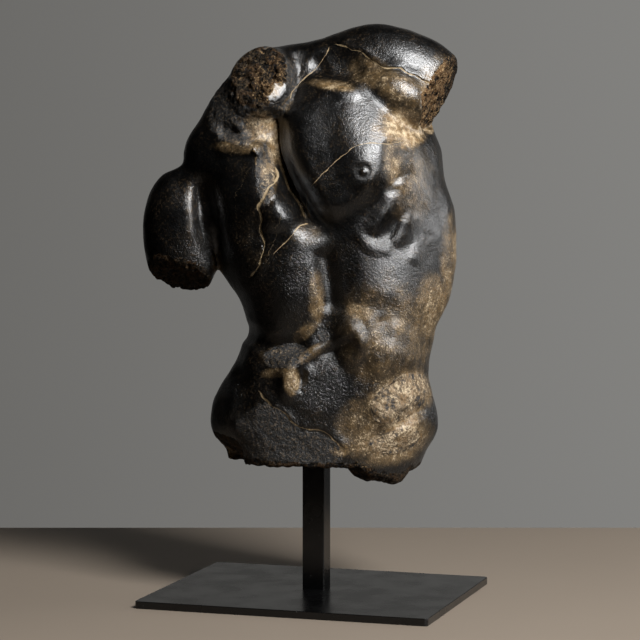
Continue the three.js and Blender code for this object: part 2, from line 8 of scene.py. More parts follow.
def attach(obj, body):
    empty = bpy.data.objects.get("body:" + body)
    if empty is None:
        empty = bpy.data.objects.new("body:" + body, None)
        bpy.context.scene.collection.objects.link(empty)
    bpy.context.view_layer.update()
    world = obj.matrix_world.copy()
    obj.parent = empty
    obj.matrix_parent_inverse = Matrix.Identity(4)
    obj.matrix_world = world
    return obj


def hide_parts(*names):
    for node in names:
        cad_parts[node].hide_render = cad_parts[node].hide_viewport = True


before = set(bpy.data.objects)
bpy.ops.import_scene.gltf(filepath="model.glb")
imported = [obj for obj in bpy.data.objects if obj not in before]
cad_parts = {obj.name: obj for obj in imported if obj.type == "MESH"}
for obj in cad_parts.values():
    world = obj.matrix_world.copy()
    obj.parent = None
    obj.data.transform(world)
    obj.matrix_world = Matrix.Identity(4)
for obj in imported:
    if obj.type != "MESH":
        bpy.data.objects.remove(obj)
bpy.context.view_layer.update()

# The torso's form, the same as the part's. These tables are in millimetres in the torso's own
# frame: X to the viewer's right, Y away from the viewer, Z up, and zero where the post's axis
# meets the underside. The picture plane is seen from an eye point in front of it. Right and left
# in names are the figure's own.
EYE_DISTANCE = 2957
EYE_HEIGHT = 394

# Lines that run up the trunk, in order round it: how far across the picture each one is at the
# heights, and how deep it lies there, with the viewer's side negative
HEIGHTS = [-20, 15, 45, 75, 100, 125, 145, 165, 195, 230, 265, 300, 335, 370, 405, 435, 465]
LINES = [
    ["right side",
     [-92, -108, -123, -121, -108, -93, -86, -81, -90, -112, -118, -124, -134, -146, -131, -114, -90],
     [20, 20, 18, 15, 12, 10, 8, 6, 4, 4, 6, 8, 8, 6, 6, 6, 10]],
    ["right front quarter",
     [-86, -94, -110, -110, -98, -86, -80, -76, -84, -104, -112, -118, -126, -134, -120, -103, -80],
     [-14, -16, -18, -18, -20, -22, -22, -22, -22, -18, -16, -14, -10, -12, -14, -16, -10]],
    ["right outer",
     [-76, -82, -92, -94, -84, -76, -70, -66, -72, -86, -100, -108, -114, -118, -106, -90, -65],
     [-40, -42, -44, -42, -42, -42, -42, -44, -48, -50, -48, -46, -40, -34, -32, -32, -20]],
    ["right crest",
     [-56, -60, -64, -64, -58, -52, -48, -42, -44, -52, -68, -80, -86, -92, -86, -74, -45],
     [-58, -62, -64, -64, -62, -62, -60, -68, -76, -76, -68, -68, -62, -50, -44, -42, -26]],
    ["right inner",
     [-32, -34, -36, -36, -34, -30, -20, -14, -12, -16, -32, -50, -58, -66, -64, -52, -30],
     [-68, -72, -76, -78, -80, -78, -68, -74, -82, -82, -80, -80, -69, -55, -46, -42, -26]],
    ["midline",
     [-6, -6, -8, -10, -8, -6, 4, 14, 17, 12, 3, -16, -36, -49, -48, -34, -20],
     [-72, -76, -82, -86, -86, -84, -72, -72, -78, -78, -77, -66, -54, -44, -38, -30, -24]],
    ["left inner",
     [22, 24, 24, 22, 26, 28, 32, 34, 35, 31, 22, 4, -16, -30, -31, -14, -5],
     [-74, -80, -86, -90, -90, -86, -82, -84, -84, -82, -80, -83, -80, -70, -60, -46, -24]],
    ["left crest",
     [50, 54, 56, 52, 54, 54, 54, 58, 60, 56, 50, 36, 24, 14, 8, 12, 15],
     [-74, -82, -90, -92, -94, -94, -98, -98, -96, -90, -86, -92, -91, -83, -71, -54, -27]],
    ["left outer",
     [76, 82, 86, 82, 82, 84, 84, 86, 87, 87, 83, 70, 62, 58, 48, 45, 45],
     [-66, -76, -88, -90, -92, -94, -96, -96, -96, -90, -82, -90, -98, -92, -76, -58, -30]],
    ["left front",
     [96, 104, 112, 108, 104, 106, 106, 108, 112, 114, 113, 106, 98, 92, 80, 78, 68],
     [-48, -58, -68, -72, -76, -80, -82, -82, -82, -78, -72, -74, -80, -80, -67, -48, -26]],
    ["left front quarter",
     [108, 120, 132, 128, 122, 122, 124, 129, 139, 143, 144, 139, 130, 124, 112, 104, 82],
     [-20, -26, -32, -34, -38, -42, -44, -44, -44, -44, -42, -42, -42, -38, -28, -16, -10]],
    ["left side",
     [113, 128, 142, 138, 131, 132, 136, 141, 155, 162, 163, 160, 149, 144, 130, 118, 90],
     [20, 20, 18, 14, 12, 10, 8, 6, 4, 4, 6, 8, 10, 12, 12, 12, 10]],
    ["left back quarter",
     [108, 120, 128, 126, 122, 120, 122, 126, 140, 148, 150, 148, 140, 136, 124, 112, 84],
     [48, 54, 56, 54, 50, 44, 40, 38, 38, 42, 46, 52, 56, 56, 54, 48, 40]],
    ["left back",
     [68, 76, 80, 80, 80, 78, 78, 80, 86, 92, 96, 98, 96, 94, 88, 84, 60],
     [84, 98, 102, 94, 80, 68, 62, 60, 62, 68, 76, 84, 90, 88, 80, 68, 52]],
    ["left of the spine",
     [32, 34, 34, 36, 38, 38, 38, 38, 40, 42, 44, 44, 44, 44, 40, 36, 30],
     [82, 94, 98, 88, 74, 66, 64, 66, 70, 74, 78, 82, 84, 84, 80, 72, 56]],
    ["spine",
     [8, 9, 9, 8, 6, 5, 5, 4, 2, -2, -6, -10, -12, -14, -12, -10, -5],
     [68, 74, 76, 70, 60, 54, 53, 54, 58, 62, 66, 70, 72, 72, 70, 66, 54]],
    ["right of the spine",
     [-16, -16, -18, -24, -26, -26, -26, -28, -34, -42, -48, -54, -58, -60, -56, -48, -35],
     [80, 92, 94, 84, 70, 62, 60, 62, 66, 72, 76, 82, 84, 82, 78, 70, 54]],
    ["right back",
     [-50, -56, -62, -66, -62, -58, -58, -60, -68, -80, -88, -94, -100, -104, -96, -82, -60],
     [80, 94, 98, 88, 72, 58, 52, 50, 54, 60, 66, 74, 78, 78, 72, 62, 48]],
    ["right back quarter",
     [-80, -88, -104, -106, -98, -84, -78, -76, -86, -104, -110, -116, -128, -138, -122, -104, -80],
     [42, 48, 50, 48, 42, 36, 32, 30, 30, 34, 36, 40, 40, 42, 42, 38, 34]],
]
TRUNK_DEPTH = 8
TRUNK_TOP = 466
TRUNK_TOP_MELT = 26

# Round masses joined to the trunk: place, half sizes, turn in degrees and melt
MASSES = [
    ["nape", [-22, 22, 454], [52, 40, 38], [0, 0, 0], 16],
    ["right armpit", [-126, 10, 292], [24, 30, 62], [4, 0, 0], 8],
    ["left deltoid", [104, 2, 457], [80, 48, 48], [27, 0, 0], 14],
    ["left shoulder top", [42, 14, 462], [64, 42, 44], [-6, 0, 0], 20],
    ["left arm", [122, 2, 446], [46, 40, 46], [35, 0, 0], 12],
    ["left under arm", [97, -25, 431], [47, 41, 31], [28, 0, 0], 12],
    ["right deltoid", [-165, 12, 281], [42, 30, 64], [2, 0, -37], 8],
    ["right upper arm", [-158, 16, 246], [45, 32, 58], [-4, 0, -37], 12],
    ["right shoulder", [-113, 18, 360], [38, 46, 56], [26, 0, 0], 20],
    ["right shoulder top", [-82, 20, 408], [38, 44, 42], [34, 0, 0], 18],
    ["neck", [-61, -8, 442], [40, 60, 46], [10, 0, 0], 12],
]

# Soft rises and hollows of the front: place in the picture, half sizes, turn and rise
SWELLS = [
    ["hollow under the left clavicle", [24, 464], [36, 26], -10, -6],
    ["beside the neck", [-12, 456], [30, 34], 0, -5],
    ["nipple ground", [54, 344], [12, 12], 0, -1.6],
    ["nipple", [55, 343], [4.5, 4.5], 0, 2.8],
    ["between the ribs", [86, 280], [12, 20], -30, -2.5],
    ["behind the ribs", [132, 290], [20, 34], -20, -1.6],
    ["bump beside the fold", [41, 142], [23, 36], 6, 8],
    ["second bump beside the fold", [82, 122], [30, 30], 0, 5],
    ["left flank", [94, 138], [36, 34], 0, 3],
    ["right chest bump", [-38, 296], [32, 22], 40, 4.5],
    ["navel bump", [-30, 97], [18, 28], -8, 6],
    ["navel hole", [-18, 103], [8, 13], 0, -6],
    ["lower belly dimple", [44, 52], [24, 32], -30, -4],
    ["hollow under the fold", [16, 106], [60, 44], 20, -4],
    ["neck pit", [-66, 392], [22, 22], 0, -6],
    ["pebble", [-90, 395], [8, 7], 0, 4],
]

# Ridges and furrows of the front: path in the picture, half width and rise
CREASES = [
    ["inner edge of the right arm", [[-150, 344], [-149, 315], [-148, 285], [-150, 262]], 12, 0.8],
    ["breastbone valley",
     [[-36, 418], [-43, 392], [-41, 365], [-30, 335], [-15, 305], [-4, 284], [6, 262]], 28, -9],
    ["belly line", [[6, 258], [10, 240], [13, 220], [16, 200], [18, 186], [20, 176]], 17, -9],
    ["under the right roll", [[-96, 164], [-74, 152], [-58, 142], [-28, 139], [-4, 148]], 16, -7],
    ["fold",
     [[-66, 108], [-50, 109], [-34, 114], [-17, 123], [1, 135], [17, 143], [34, 153], [48, 166]], 9, 3],
    ["above the fold", [[-20, 132], [0, 146], [18, 155], [36, 168], [48, 178]], 22, 5],
    ["under the fold", [[-14, 112], [1, 123], [18, 132], [38, 141], [54, 146]], 17, -4],
    ["foot of the ribs", [[40, 200], [60, 188], [82, 182], [104, 184]], 20, -3],
    ["beside the bump", [[74, 178], [78, 152], [68, 124]], 15, -3],
    ["foot of the first rib", [[48, 274], [58, 260], [72, 254], [92, 254]], 12, 2.6],
    ["first rib", [[92, 324], [82, 304], [66, 278], [60, 268]], 14, 2.6],
    ["second rib", [[116, 298], [106, 280], [94, 262], [90, 254]], 13, 2.6],
    ["third rib", [[136, 276], [126, 260], [114, 242], [110, 234]], 14, 2.2],
    ["under the left pectoral", [[-12, 290], [14, 284], [40, 290], [62, 302], [80, 322], [92, 346]], 22, -5],
    ["clavicle", [[-8, 450], [15, 443], [35, 438], [60, 440]], 16, 3],
    ["beside the left pectoral", [[94, 384], [94, 362], [94, 345], [100, 328]], 22, -4],
    ["front edge of the latissimus", [[118, 392], [124, 362], [130, 340], [136, 318], [140, 290]], 22, 1.5],
    ["iliac patch", [[128, 108], [118, 92], [102, 78], [82, 62], [64, 48]], 24, 4],
    ["groin line", [[130, 72], [108, 57], [88, 44], [72, 33], [58, 28]], 13, -5],
    ["arm groove", [[-132, 350], [-132, 320], [-130, 280], [-124, 250], [-116, 232]], 16, -6],
    ["navel slit", [[-19, 108], [-19, 96], [-22, 84]], 6, -4],
    ["top of the right pectoral", [[-122, 366], [-95, 373], [-72, 371], [-54, 362]], 15, 4],
    ["above the right pectoral", [[-116, 390], [-90, 390], [-66, 382]], 15, -5],
    ["down the right chest", [[-64, 350], [-60, 320], [-68, 290], [-66, 255]], 14, -1.5],
    ["right groin", [[-92, 120], [-84, 90], [-86, 60], [-92, 40]], 18, -4],
]

# Round hollows cut into the torso: place, half sizes, turn in degrees and melt
HOLLOWS = [
    ["left armpit", [108, -94, 402], [38, 34, 22], [30, 30, 0], 6],
]

# Broken faces: a point on each, the way it faces, its reach, its melt and its roughness
BREAKS = [
    ["right arm", [-165, 20, 217], [-0.3, -0.49, -0.82], 72, 4, 2.8],
    ["left arm", [146, -12, 447], [0.87, -0.28, -0.41], 60, 3, 1.6],
    ["neck", [-62, -46, 446], [-0.3, -0.8, 0.52], 56, 7, 6.0],
    ["neck facet", [-42, -56, 432], [0.35, -0.88, 0.32], 17, 2, 0.2],
    ["right hip", [-104, -6, 27], [-0.5, -0.25, -0.83], 34, 4, 1.4],
]
BREAK_RIPPLE = 7

# The broken underside: its level, its fall to the back, and how much lower its lumps hang
UNDERSIDE_FRONT = 6
UNDERSIDE_FALL = 3
UNDERSIDE_FALL_FROM = -50
UNDERSIDE_FALL_TO = 30
UNDERSIDE_REACH = 40
UNDERSIDE_MELT = 4
UNDERSIDE_ROUGHNESS = 1.6
UNDERSIDE_RIPPLE = 8
UNDERSIDE_LUMPS = [
    [[70, -30], [42, 60], 0, 19],
    [[108, -20], [34, 80], 0, 9],
]

# Relief fades out from the front to the sides between these depths
RELIEF_STARTS = 34
RELIEF_FULL = -14
CREASE_FADE = 0.2

# How the form is worked out: the trunk's table, and how far beyond its sizes a mass still counts
SHEET_ANGLES = np.linspace(-np.pi, np.pi, 721)
SHEET_HEIGHTS = np.arange(-45.0, 545.0, 1.0)
TABLE_EDGE = 0.001
FORM_MARGIN = 8
LEAST_REACH = 30
LEAST_SLOPE = 1e-6
FAR_AWAY = 1e9

# Fine detail that only this scene has, in the same frame and millimetres

# Cracks: path in the picture, half width, depth, and the step from one side to the other. They
# wander from their paths, fade at their ends, and stop where the torso turns away.
CRACK_WANDER = 1.1
CRACK_WANDER_SIZE = 7
CRACK_REACH = 14
CRACK_EDGE = 1.2
CRACK_STEP_FULL = 3
CRACK_FADE = 0.08
CRACKS_END = 20
CRACKS_FULL = -10
NO_CRACK = 30.0
CRACKS = [
    ["right chest",
     [[-48, 352], [-45, 337], [-55, 325], [-62, 312], [-68, 302], [-64, 292], [-66, 275],
      [-60, 262], [-62, 250], [-68, 232], [-80, 218]], 1.1, 2.0, 0.8],
    ["across the breastbone", [[-8, 283], [-20, 280], [-28, 270], [-35, 263], [-52, 247]], 0.65, 1.2, 0.5],
    ["left chest",
     [[-10, 322], [0, 333], [12, 345], [20, 353], [33, 363], [45, 373], [62, 377],
      [88, 376], [105, 383], [119, 394]], 0.45, 0.7, 0],
    ["left chest foot", [[-10, 322], [-11, 311], [-12, 300]], 0.4, 0.5, 0],
    ["beside the neck",
     [[15, 490], [10, 478], [0, 463], [-10, 455], [-18, 447], [-25, 440], [-32, 425]], 0.45, 0.8, 0],
    ["left shoulder",
     [[18, 490], [30, 490], [42, 484], [50, 483], [60, 475], [72, 467], [80, 463],
      [95, 464], [105, 458], [120, 452], [128, 446], [140, 442], [149, 441]], 0.7, 1.4, 1.6],
    ["lower belly",
     [[-70, 90], [-60, 77], [-52, 70], [-43, 65], [-36, 60], [-28, 50], [-15, 43],
      [0, 41], [10, 38], [22, 28], [30, 20], [40, 16]], 0.7, 1.4, 1.2],
]

# Rough broken patches: place in the picture, half sizes, turn and strength
ROUGH_PATCHES = [
    ["neck", [-62, 445], [48, 54], 0, 1.8],
    ["lump beside the neck", [-104, 428], [26, 30], 0, 1.5],
    ["below the neck", [-94, 402], [42, 34], -20, 1.4],
    ["under the right roll", [-36, 128], [36, 18], 8, 1.2],
    ["left hip", [98, 78], [48, 28], 36, 2.2],
    ["lower left", [92, 28], [44, 20], 10, 0.8],
    ["left arm", [150, 440], [22, 46], 0, 0.9],
    ["lower right", [-56, 34], [52, 48], -35, 1.0],
    ["lower middle", [-8, 16], [52, 30], -10, 1.0],
    ["beside the right crack", [-60, 340], [16, 50], 0, 0.8],
    ["specks by the fold", [8, 152], [12, 9], 0, 0.6],
]

# Where tan shows through the dark patina: place in the picture, half sizes, turn and strength
OCHRE_PATCHES = [
    ["navel", [-29, 99], [13, 24], 0, 1.3],
    ["under the right roll", [-42, 128], [40, 20], 0, 0.4],
    ["above the bump", [52, 180], [24, 15], -20, 1.0],
    ["right of the bump", [84, 154], [44, 40], 0, 0.85],
    ["left belly", [86, 150], [84, 112], 0, 0.6],
    ["left flank front", [118, 150], [40, 70], 0, 0.7],
    ["below the bump", [84, 118], [50, 34], 0, 0.5],
    ["left flank rim", [158, 235], [20, 84], 0, 0.85],
    ["left flank low", [136, 182], [32, 56], 0, 1.1],
    ["left hip", [96, 76], [62, 40], 36, 1.5],
    ["lower left", [86, 32], [64, 42], 14, 1.4],
    ["left armpit", [100, 394], [38, 32], -24, 1.4],
    ["left of the armpit", [78, 400], [20, 36], -30, 0.7],
    ["left arm", [140, 436], [34, 56], 0, 0.85],
    ["neck base", [-66, 396], [24, 26], 0, 1.3],
    ["neck", [-52, 446], [36, 44], 0, 0.3],
    ["right chest inner", [-50, 376], [12, 40], 0, 0.9],
    ["beside the right crack", [-56, 338], [15, 44], 0, 0.9],
    ["right chest top", [-88, 372], [46, 12], 0, 0.7],
    ["breastbone", [-12, 270], [26, 22], 0, 0.5],
    ["edge of the roll", [0, 196], [14, 44], 0, 0.9],
    ["foot of the roll", [-14, 156], [26, 11], 40, 0.95],
    ["clavicle", [22, 443], [44, 9], -8, 0.8],
    ["upper chest", [62, 458], [40, 26], -15, 0.6],
    ["left under arm", [100, 438], [48, 28], -28, 0.75],
    ["left chest", [50, 400], [50, 44], 0, 0.3],
    ["beside the left chest", [88, 360], [16, 50], 0, 0.7],
    ["lower belly", [48, 48], [34, 42], 0, 0.85],
    ["lower belly edge", [28, 18], [16, 12], 0, 1.0],
    ["fold", [-44, 109], [30, 9], 8, 0.9],
    ["upper fold", [-4, 133], [34, 10], 32, 0.8],
    ["right arm ridge", [-148, 300], [8, 56], 0, 0.4],
    ["left ribs", [112, 330], [44, 70], 0, 0.5],
    ["right crack", [-72, 250], [24, 40], 20, 0.3],
]
# Fine detail fades out from the front to the sides between these depths
DETAIL_ENDS = 30
DETAIL_FULL = 0

# The stone grain of the breaks, the rough patches and the unevenness left by the hand
GRAIN_DEPTH = 1.6
GRAIN_SIZE = 11.0
UNDERSIDE_GRAIN_SIZE = 1.4 * GRAIN_SIZE
ROUGH_RISE = 1.1
ROUGH_SIZE = 6.0
ROUGH_FULL = 0.8
HAND_RISE = 0.55
HAND_SIZE = 16
HAND_FINE_RISE = 0.4 * HAND_RISE
HAND_FINE_SIZE = 7

# Where the broken faces' material lies: the depth below the face, the way a point faces, the rim
# of the face, and the height above the underside
SMOOTH_FACET = 0.3
BREAK_STARTS = -6
BREAK_FULL = -1.5
BREAK_TURNED_AWAY = -0.1
BREAK_TURNED_TO = 0.5
BREAK_RIM = 0.9
EDGE_STARTS = -8
EDGE_FULL = -2
EDGE_WANDER = 3
EDGE_WANDER_SIZE = 9
BROKEN_ABOVE = 0.5

# Where the tan lies beside its patches: in furrows, and in clouds on the sides and the back
FURROW_REACH = 9.0
FURROW_STARTS = 0.2
FURROW_FULL = 0.7
FURROW_OCHRE = 0.8
CLOUD_SIZE = 38
SMALL_CLOUD_SIZE = 17
SIDE_CLOUDS_START = 0.1
SIDE_CLOUDS_FULL = 0.9
SIDE_OCHRE = 0.55

# The speckle is finer at the top and sandy at the bottom, and changes between these heights
SANDY_ABOVE = 300
SANDY_BELOW = 215
SANDY_WANDER = 30
SMOOTHEST = 0.5

# Each noise has a number of its own, so that it differs from the others and never changes
SEEDS = {
    "broken faces": 3, "underside": 8, "rough patches": 11, "cracks across": 21, "cracks up": 22,
    "hand": 31, "fine hand": 32, "clouds": 41, "small clouds": 42, "edge": 43,
}

# Broken stone: the share of its lumps, furrows and crumbs, and the smaller ones' sizes beside the lumps
STONE_LUMPS = 0.55
STONE_FURROWS = 0.35
STONE_CRUMBS = 0.35
STONE_FURROW_SIZE = 0.55
STONE_CRUMB_SIZE = 0.35
STONE_SHARPNESS = 3
STONE_DEEPEST = -1.2

# The lattice that each noise is read from, and the numbers that scramble it
LATTICE_OFFSET = 1000
LATTICE_PRIMES = (374761393, 668265263, 2147483647, 1274126177)
LATTICE_STIRS = ((13, 1103515245), (16, 69069))
WORD = 0xFFFFFFFF
LOW_WORD = 0xFFFFFF

# The grid on which the torso's surface is found
GRID_LOW = [-222, -130, -36]
GRID_HIGH = [190, 132, 536]
COARSE_STEP = 8.0
FINE_PER_COARSE = 4
BAND = 9.0
TORSO_TRIANGLES = 196000

# Colours, as linear light
NEAR_BLACK = (0.0007, 0.0007, 0.0007)
WARM_BLACK = (0.0022, 0.0016, 0.0010)
SANDY = (0.060, 0.040, 0.022)
OCHRE_DARK = (0.19, 0.115, 0.048)
OCHRE_LIGHT = (0.50, 0.39, 0.25)
HAZE_BROWN = (0.145, 0.096, 0.046)
# The rock's dark, which is also painted as shade into the low places of the broken faces' crags
ROCK_DARK_AND_PIT_SHADE = (0.0010, 0.0008, 0.0006)
ROCK_LIGHT = (0.090, 0.062, 0.034)
BREAK_BROWN = (0.095, 0.048, 0.018)
BREAK_TAN = (0.36, 0.25, 0.13)
CRACK_TAN = (0.31, 0.225, 0.12)
PAINT_BLACK = (0.0008, 0.0008, 0.0009)
DUST_GREY = (0.12, 0.12, 0.115)
FLOOR_COLOUR = (0.206, 0.168, 0.131)
BACKDROP_LEFT = (0.125, 0.122, 0.115)
BACKDROP_RIGHT = (0.245, 0.242, 0.232)
FLOOR_DARKER = 0.94
FLOOR_ROUGHNESS = 0.6

# The materials' noises: size in millimetres, detail and roughness
NOISES = {
    "wide": (34, 3, 0.55), "middle": (9, 3, 0.55), "fine": (3, 4, 0.65), "grain": (1.7, 2, 0.55),
    "clouds": (22, 4, 0.6), "streaks": (7, 5, 0.7), "pocks": (6, 2, 0.55), "looseness": (12, 1, 0.55),
    "break wide": (14, 3, 0.55), "break fine": (2.6, 5, 0.7), "break lumps": (8, 3, 0.6),
    "paint clouds": (45, 3, 0.55), "paint peel": (1.6, 1, 0.55), "floor": (220, 2, 0.55),
}

# Their ramps and the sky's: the values between which each one runs, and what it gives at both
RAMPS = {
    "warm": (0.4, 0.68, 0, 1), "dust": (0.52, 0.7, 0, 1), "dusty areas": (0.4, 0.65, 0.15, 0.8),
    "rock": (0.5, 0.66, 0, 1), "broken": (0.25, 0.8, 0, 1), "wax": (0.3, 0.7, 0.28, 0.36),
    "clouds": (0.3, 0.68, 0.6, 1.2), "streaks": (0.34, 0.6, 0.74, 1.1), "pocks": (0.36, 0.52, 0.6, 0),
    "haze": (0.15, 1.1, 0, 0.85), "worn": (0.15, 1, 0, 1), "tan": (0.38, 0.62, 0, 1),
    "looseness": (0.35, 0.7, 0.45, 1.6), "crack edge": (1.3, 0.6, 0, 1), "crack end": (0.05, 0.3, 0, 1),
    # The pit ramp paints shade black where the broken faces' crag bump is lowest
    "break rock": (0.45, 0.7, 0, 1), "break warm": (0.42, 0.62, 0, 0.35), "painted pit shade": (0.5, 0.36, 0, 1),
    "flecks": (0.02, 0.3, 0, 1), "fleck areas": (0.35, 0.6, 0.6, 1.3),
    "break roughness": (0.35, 0.65, 0.45, 0.75), "lint": (0.045, 0.02, 0, 1),
    "paint roughness": (0.3, 0.7, 0.2, 0.3), "backdrop": (-0.3, 0.3, 0, 1),
    "wall light": (0.75, 0.97, 0.008, 1),
}

# How strongly the layers of the resin and the paint show, with depths in millimetres
ROCK_SHARE = 0.8
CRACK_SHARE = 0.85
LEAST_CRACK = 0.02
GRAIN_SHARE = 0.6
SPECKLE_LEVEL = 0.6
SPECKLE_SPREAD = 4.6
WORN_DENSITY = 0.8
WORN_DULLNESS = 0.25
DULL_ROUGHNESS = 0.3
STONE_GRIT = 1.3
PIT_DEPTH = 1.0
GRIT_DEPTH = 0.7
FLECK_OCHRE = 0.7
FLECK_LEVEL = 0.62
CRAG_DEPTH = 7.0
CRUMB_DEPTH = 2.6
PEEL_DEPTH = 0.2
PEEL_STRENGTH = 0.06
LINT_SPACING = 9
PATINA_SPECULAR = 0.75
BREAK_SPECULAR = 0.15

# The camera, the floor and the lights, in metres, with the torso's own directions
CAMERA_SENSOR = 36
CAMERA_CLIP = 20
CAMERA_LENS = 142.8
CAMERA_SHIFT = 0.0067
CAMERA_BACK = 2.9476
CAMERA_UP = 0.5477
CAMERA_PITCH = math.radians(4.3236)
FLOOR_HALF = 0.45
FLOOR_BACK = 0.51
AIM = (0, 0, 0.42)
LIGHTS = [
    ["key", (1.08, -1.55, 1.91), 0.9, 126],
    ["rim", (2.1, 0.35, 0.8), 0.8, 14],
    ["left_fill", (-1.8, -1.0, 0.9), 0.9, 0.1],
]

# How the torso's own frame sits in the row frame
POST_SET_BACK = 9
POST_SET_LEFT = 2
STAND_HEIGHT = 145
PLATE_THICKNESS = 8.7
TORSO_ROTATION = Matrix.Rotation(math.radians(17.7), 3, "Z")
TORSO_AXES = np.array(TORSO_ROTATION)
TORSO_PLACE = np.array([-POST_SET_LEFT, POST_SET_BACK, PLATE_THICKNESS + STAND_HEIGHT])
MM = 0.001

# Curves and blends, on arrays


def smooth_step(start, stop, at):
    share = np.clip((at - start) / (stop - start), 0, 1)
    return share * share * (3 - 2 * share)


def joined(one, other, melt):
    share = np.clip(0.5 + 0.5 * (other - one) / melt, 0, 1)
    return other * (1 - share) + one * share - melt * share * (1 - share)


def common(one, other, melt):
    return -joined(-one, -other, melt)


def slopes_of(places, values):
    slopes = np.empty(len(values))
    slopes[1:-1] = (values[2:] - values[:-2]) / (places[2:] - places[:-2])
    slopes[0] = (values[1] - values[0]) / (places[1] - places[0])
    slopes[-1] = (values[-1] - values[-2]) / (places[-1] - places[-2])
    return slopes


def curve_at(places, values, at):
    slopes = slopes_of(places, values)
    i = np.clip(np.searchsorted(places, at, side="right") - 1, 0, len(places) - 2)
    span = places[i + 1] - places[i]
    t = (at - places[i]) / span
    start = (1 + 2 * t) * (1 - t) ** 2 * values[i] + t * (1 - t) ** 2 * span * slopes[i]
    end = t * t * (3 - 2 * t) * values[i + 1] + t * t * (t - 1) * span * slopes[i + 1]
    return start + end


def smooth_path(path, per_span=4):
    """A Catmull-Rom curve through the path's points."""
    points = np.asarray(path, float)
    if len(points) < 3:
        return points
    ends = np.vstack([points[:1], points, points[-1:]])
    steps = []
    for a, b, c, d in zip(ends, ends[1:], ends[2:], ends[3:]):
        for t in np.arange(per_span) / per_span:
            bend = (2 * a - 5 * b + 4 * c - d) * t * t + (3 * b - a - 3 * c + d) * t ** 3
            steps.append(0.5 * (2 * b + (c - a) * t + bend))
    return np.array([*steps, points[-1]])


def ripple(x, y, z, size):
    """Uneven waves from -1 to 1, the same as in the part."""
    a, b, c = x / size, y / size, z / size
    broad = np.sin(2.1 * a + 1.3 * np.sin(1.7 * b + 0.5)) * np.cos(1.9 * c + 1.1 * np.sin(1.3 * a))
    fine = np.sin(3.7 * b + 2.3 * c + 2 * np.sin(2.9 * a))
    return 0.6 * broad + 0.4 * fine


def lattice(i, j, k, seed):
    """A repeatable number from 0 to 1 for each corner of a lattice."""
    a, b, c, d = LATTICE_PRIMES
    mixed = (i * a + j * b + k * c + seed * d) & WORD
    for shift, factor in LATTICE_STIRS:
        mixed = ((mixed ^ (mixed >> shift)) * factor) & WORD
    return (mixed & LOW_WORD) / LOW_WORD


def noise(x, y, z, size, seed):
    """Smooth noise from -1 to 1 with bumps of about this size."""
    px, py, pz = (part / size + LATTICE_OFFSET for part in (x, y, z))
    i, j, k = (np.floor(p).astype(np.int64) for p in (px, py, pz))
    fx, fy, fz = (smooth_step(0, 1, p - q) for p, q in ((px, i), (py, j), (pz, k)))
    total = 0.0
    for di, wx in ((0, 1 - fx), (1, fx)):
        for dj, wy in ((0, 1 - fy), (1, fy)):
            for dk, wz in ((0, 1 - fz), (1, fz)):
                total = total + wx * wy * wz * lattice(i + di, j + dj, k + dk, seed)
    return 2 * total - 1


def rocky(x, y, z, size, seed):
    """Broken stone: lumps with sharp furrows between them, from about -1 to 1."""
    lumps = noise(x, y, z, size, seed)
    furrows = 1 - STONE_SHARPNESS * np.abs(noise(x, y, z, STONE_FURROW_SIZE * size, seed + 1))
    crumbs = noise(x, y, z, STONE_CRUMB_SIZE * size, seed + 2)
    stone = STONE_LUMPS * lumps + STONE_FURROWS * furrows + STONE_CRUMBS * crumbs
    return np.clip(stone, STONE_DEEPEST, 1)


# The torso's form, as in the part: below zero inside, above zero outside


def to_picture(x, y, z):
    scale = EYE_DISTANCE / (y + EYE_DISTANCE)
    return x * scale, EYE_HEIGHT + (z - EYE_HEIGHT) * scale


def trunk_sheet():
    """The trunk's radius by angle and height, and the middle that it is measured from."""
    across_at, depth_at = [], []
    for _, across, depth in LINES:
        depth = np.array(depth, float)
        scale = 1 + depth / EYE_DISTANCE
        heights = EYE_HEIGHT + (np.array(HEIGHTS) - EYE_HEIGHT) * scale
        at = np.clip(SHEET_HEIGHTS, heights[0], heights[-1])
        across_at.append(curve_at(heights, np.array(across) * scale, at))
        depth_at.append(curve_at(heights, depth, at))
    across_at, depth_at = np.array(across_at), np.array(depth_at)
    names = [name for name, _, _ in LINES]
    middle = (across_at[names.index("right side")] + across_at[names.index("left side")]) / 2
    radius = np.empty((len(SHEET_ANGLES), len(SHEET_HEIGHTS)))
    turns = np.repeat([-2 * np.pi, 0, 2 * np.pi], len(LINES))
    for k in range(len(SHEET_HEIGHTS)):
        dx, dy = across_at[:, k] - middle[k], depth_at[:, k] - TRUNK_DEPTH
        angle = np.unwrap(np.arctan2(dy, dx))
        at = np.where(SHEET_ANGLES < angle[0], SHEET_ANGLES + 2 * np.pi, SHEET_ANGLES)
        radius[:, k] = curve_at(np.tile(angle, 3) + turns, np.tile(np.hypot(dx, dy), 3), at)
    by_angle = np.gradient(radius, SHEET_ANGLES, axis=0)
    by_height = np.gradient(radius, SHEET_HEIGHTS, axis=1)
    return radius, by_angle, by_height, middle


SHEET = trunk_sheet()


def trunk(x, y, z):
    radius, by_angle, by_height, middle = SHEET
    level = np.clip(z - SHEET_HEIGHTS[0], 0, len(SHEET_HEIGHTS) - 1 - TABLE_EDGE)
    k = level.astype(np.int32)
    up = level - k
    dx = x - (middle[k] * (1 - up) + middle[k + 1] * up)
    dy = y - TRUNK_DEPTH
    reach = np.hypot(dx, dy)
    turn = (np.arctan2(dy, dx) + np.pi) / (SHEET_ANGLES[1] - SHEET_ANGLES[0])
    i = np.clip(turn.astype(np.int32), 0, len(SHEET_ANGLES) - 2)
    over = turn - i

    def read(table):
        low = table[i, k] * (1 - over) + table[i + 1, k] * over
        high = table[i, k + 1] * (1 - over) + table[i + 1, k + 1] * over
        return low * (1 - up) + high * up

    slope = np.sqrt(1 + (read(by_angle) / np.maximum(reach, LEAST_REACH)) ** 2 + read(by_height) ** 2)
    return common((reach - read(radius)) / slope, z - TRUNK_TOP, TRUNK_TOP_MELT)


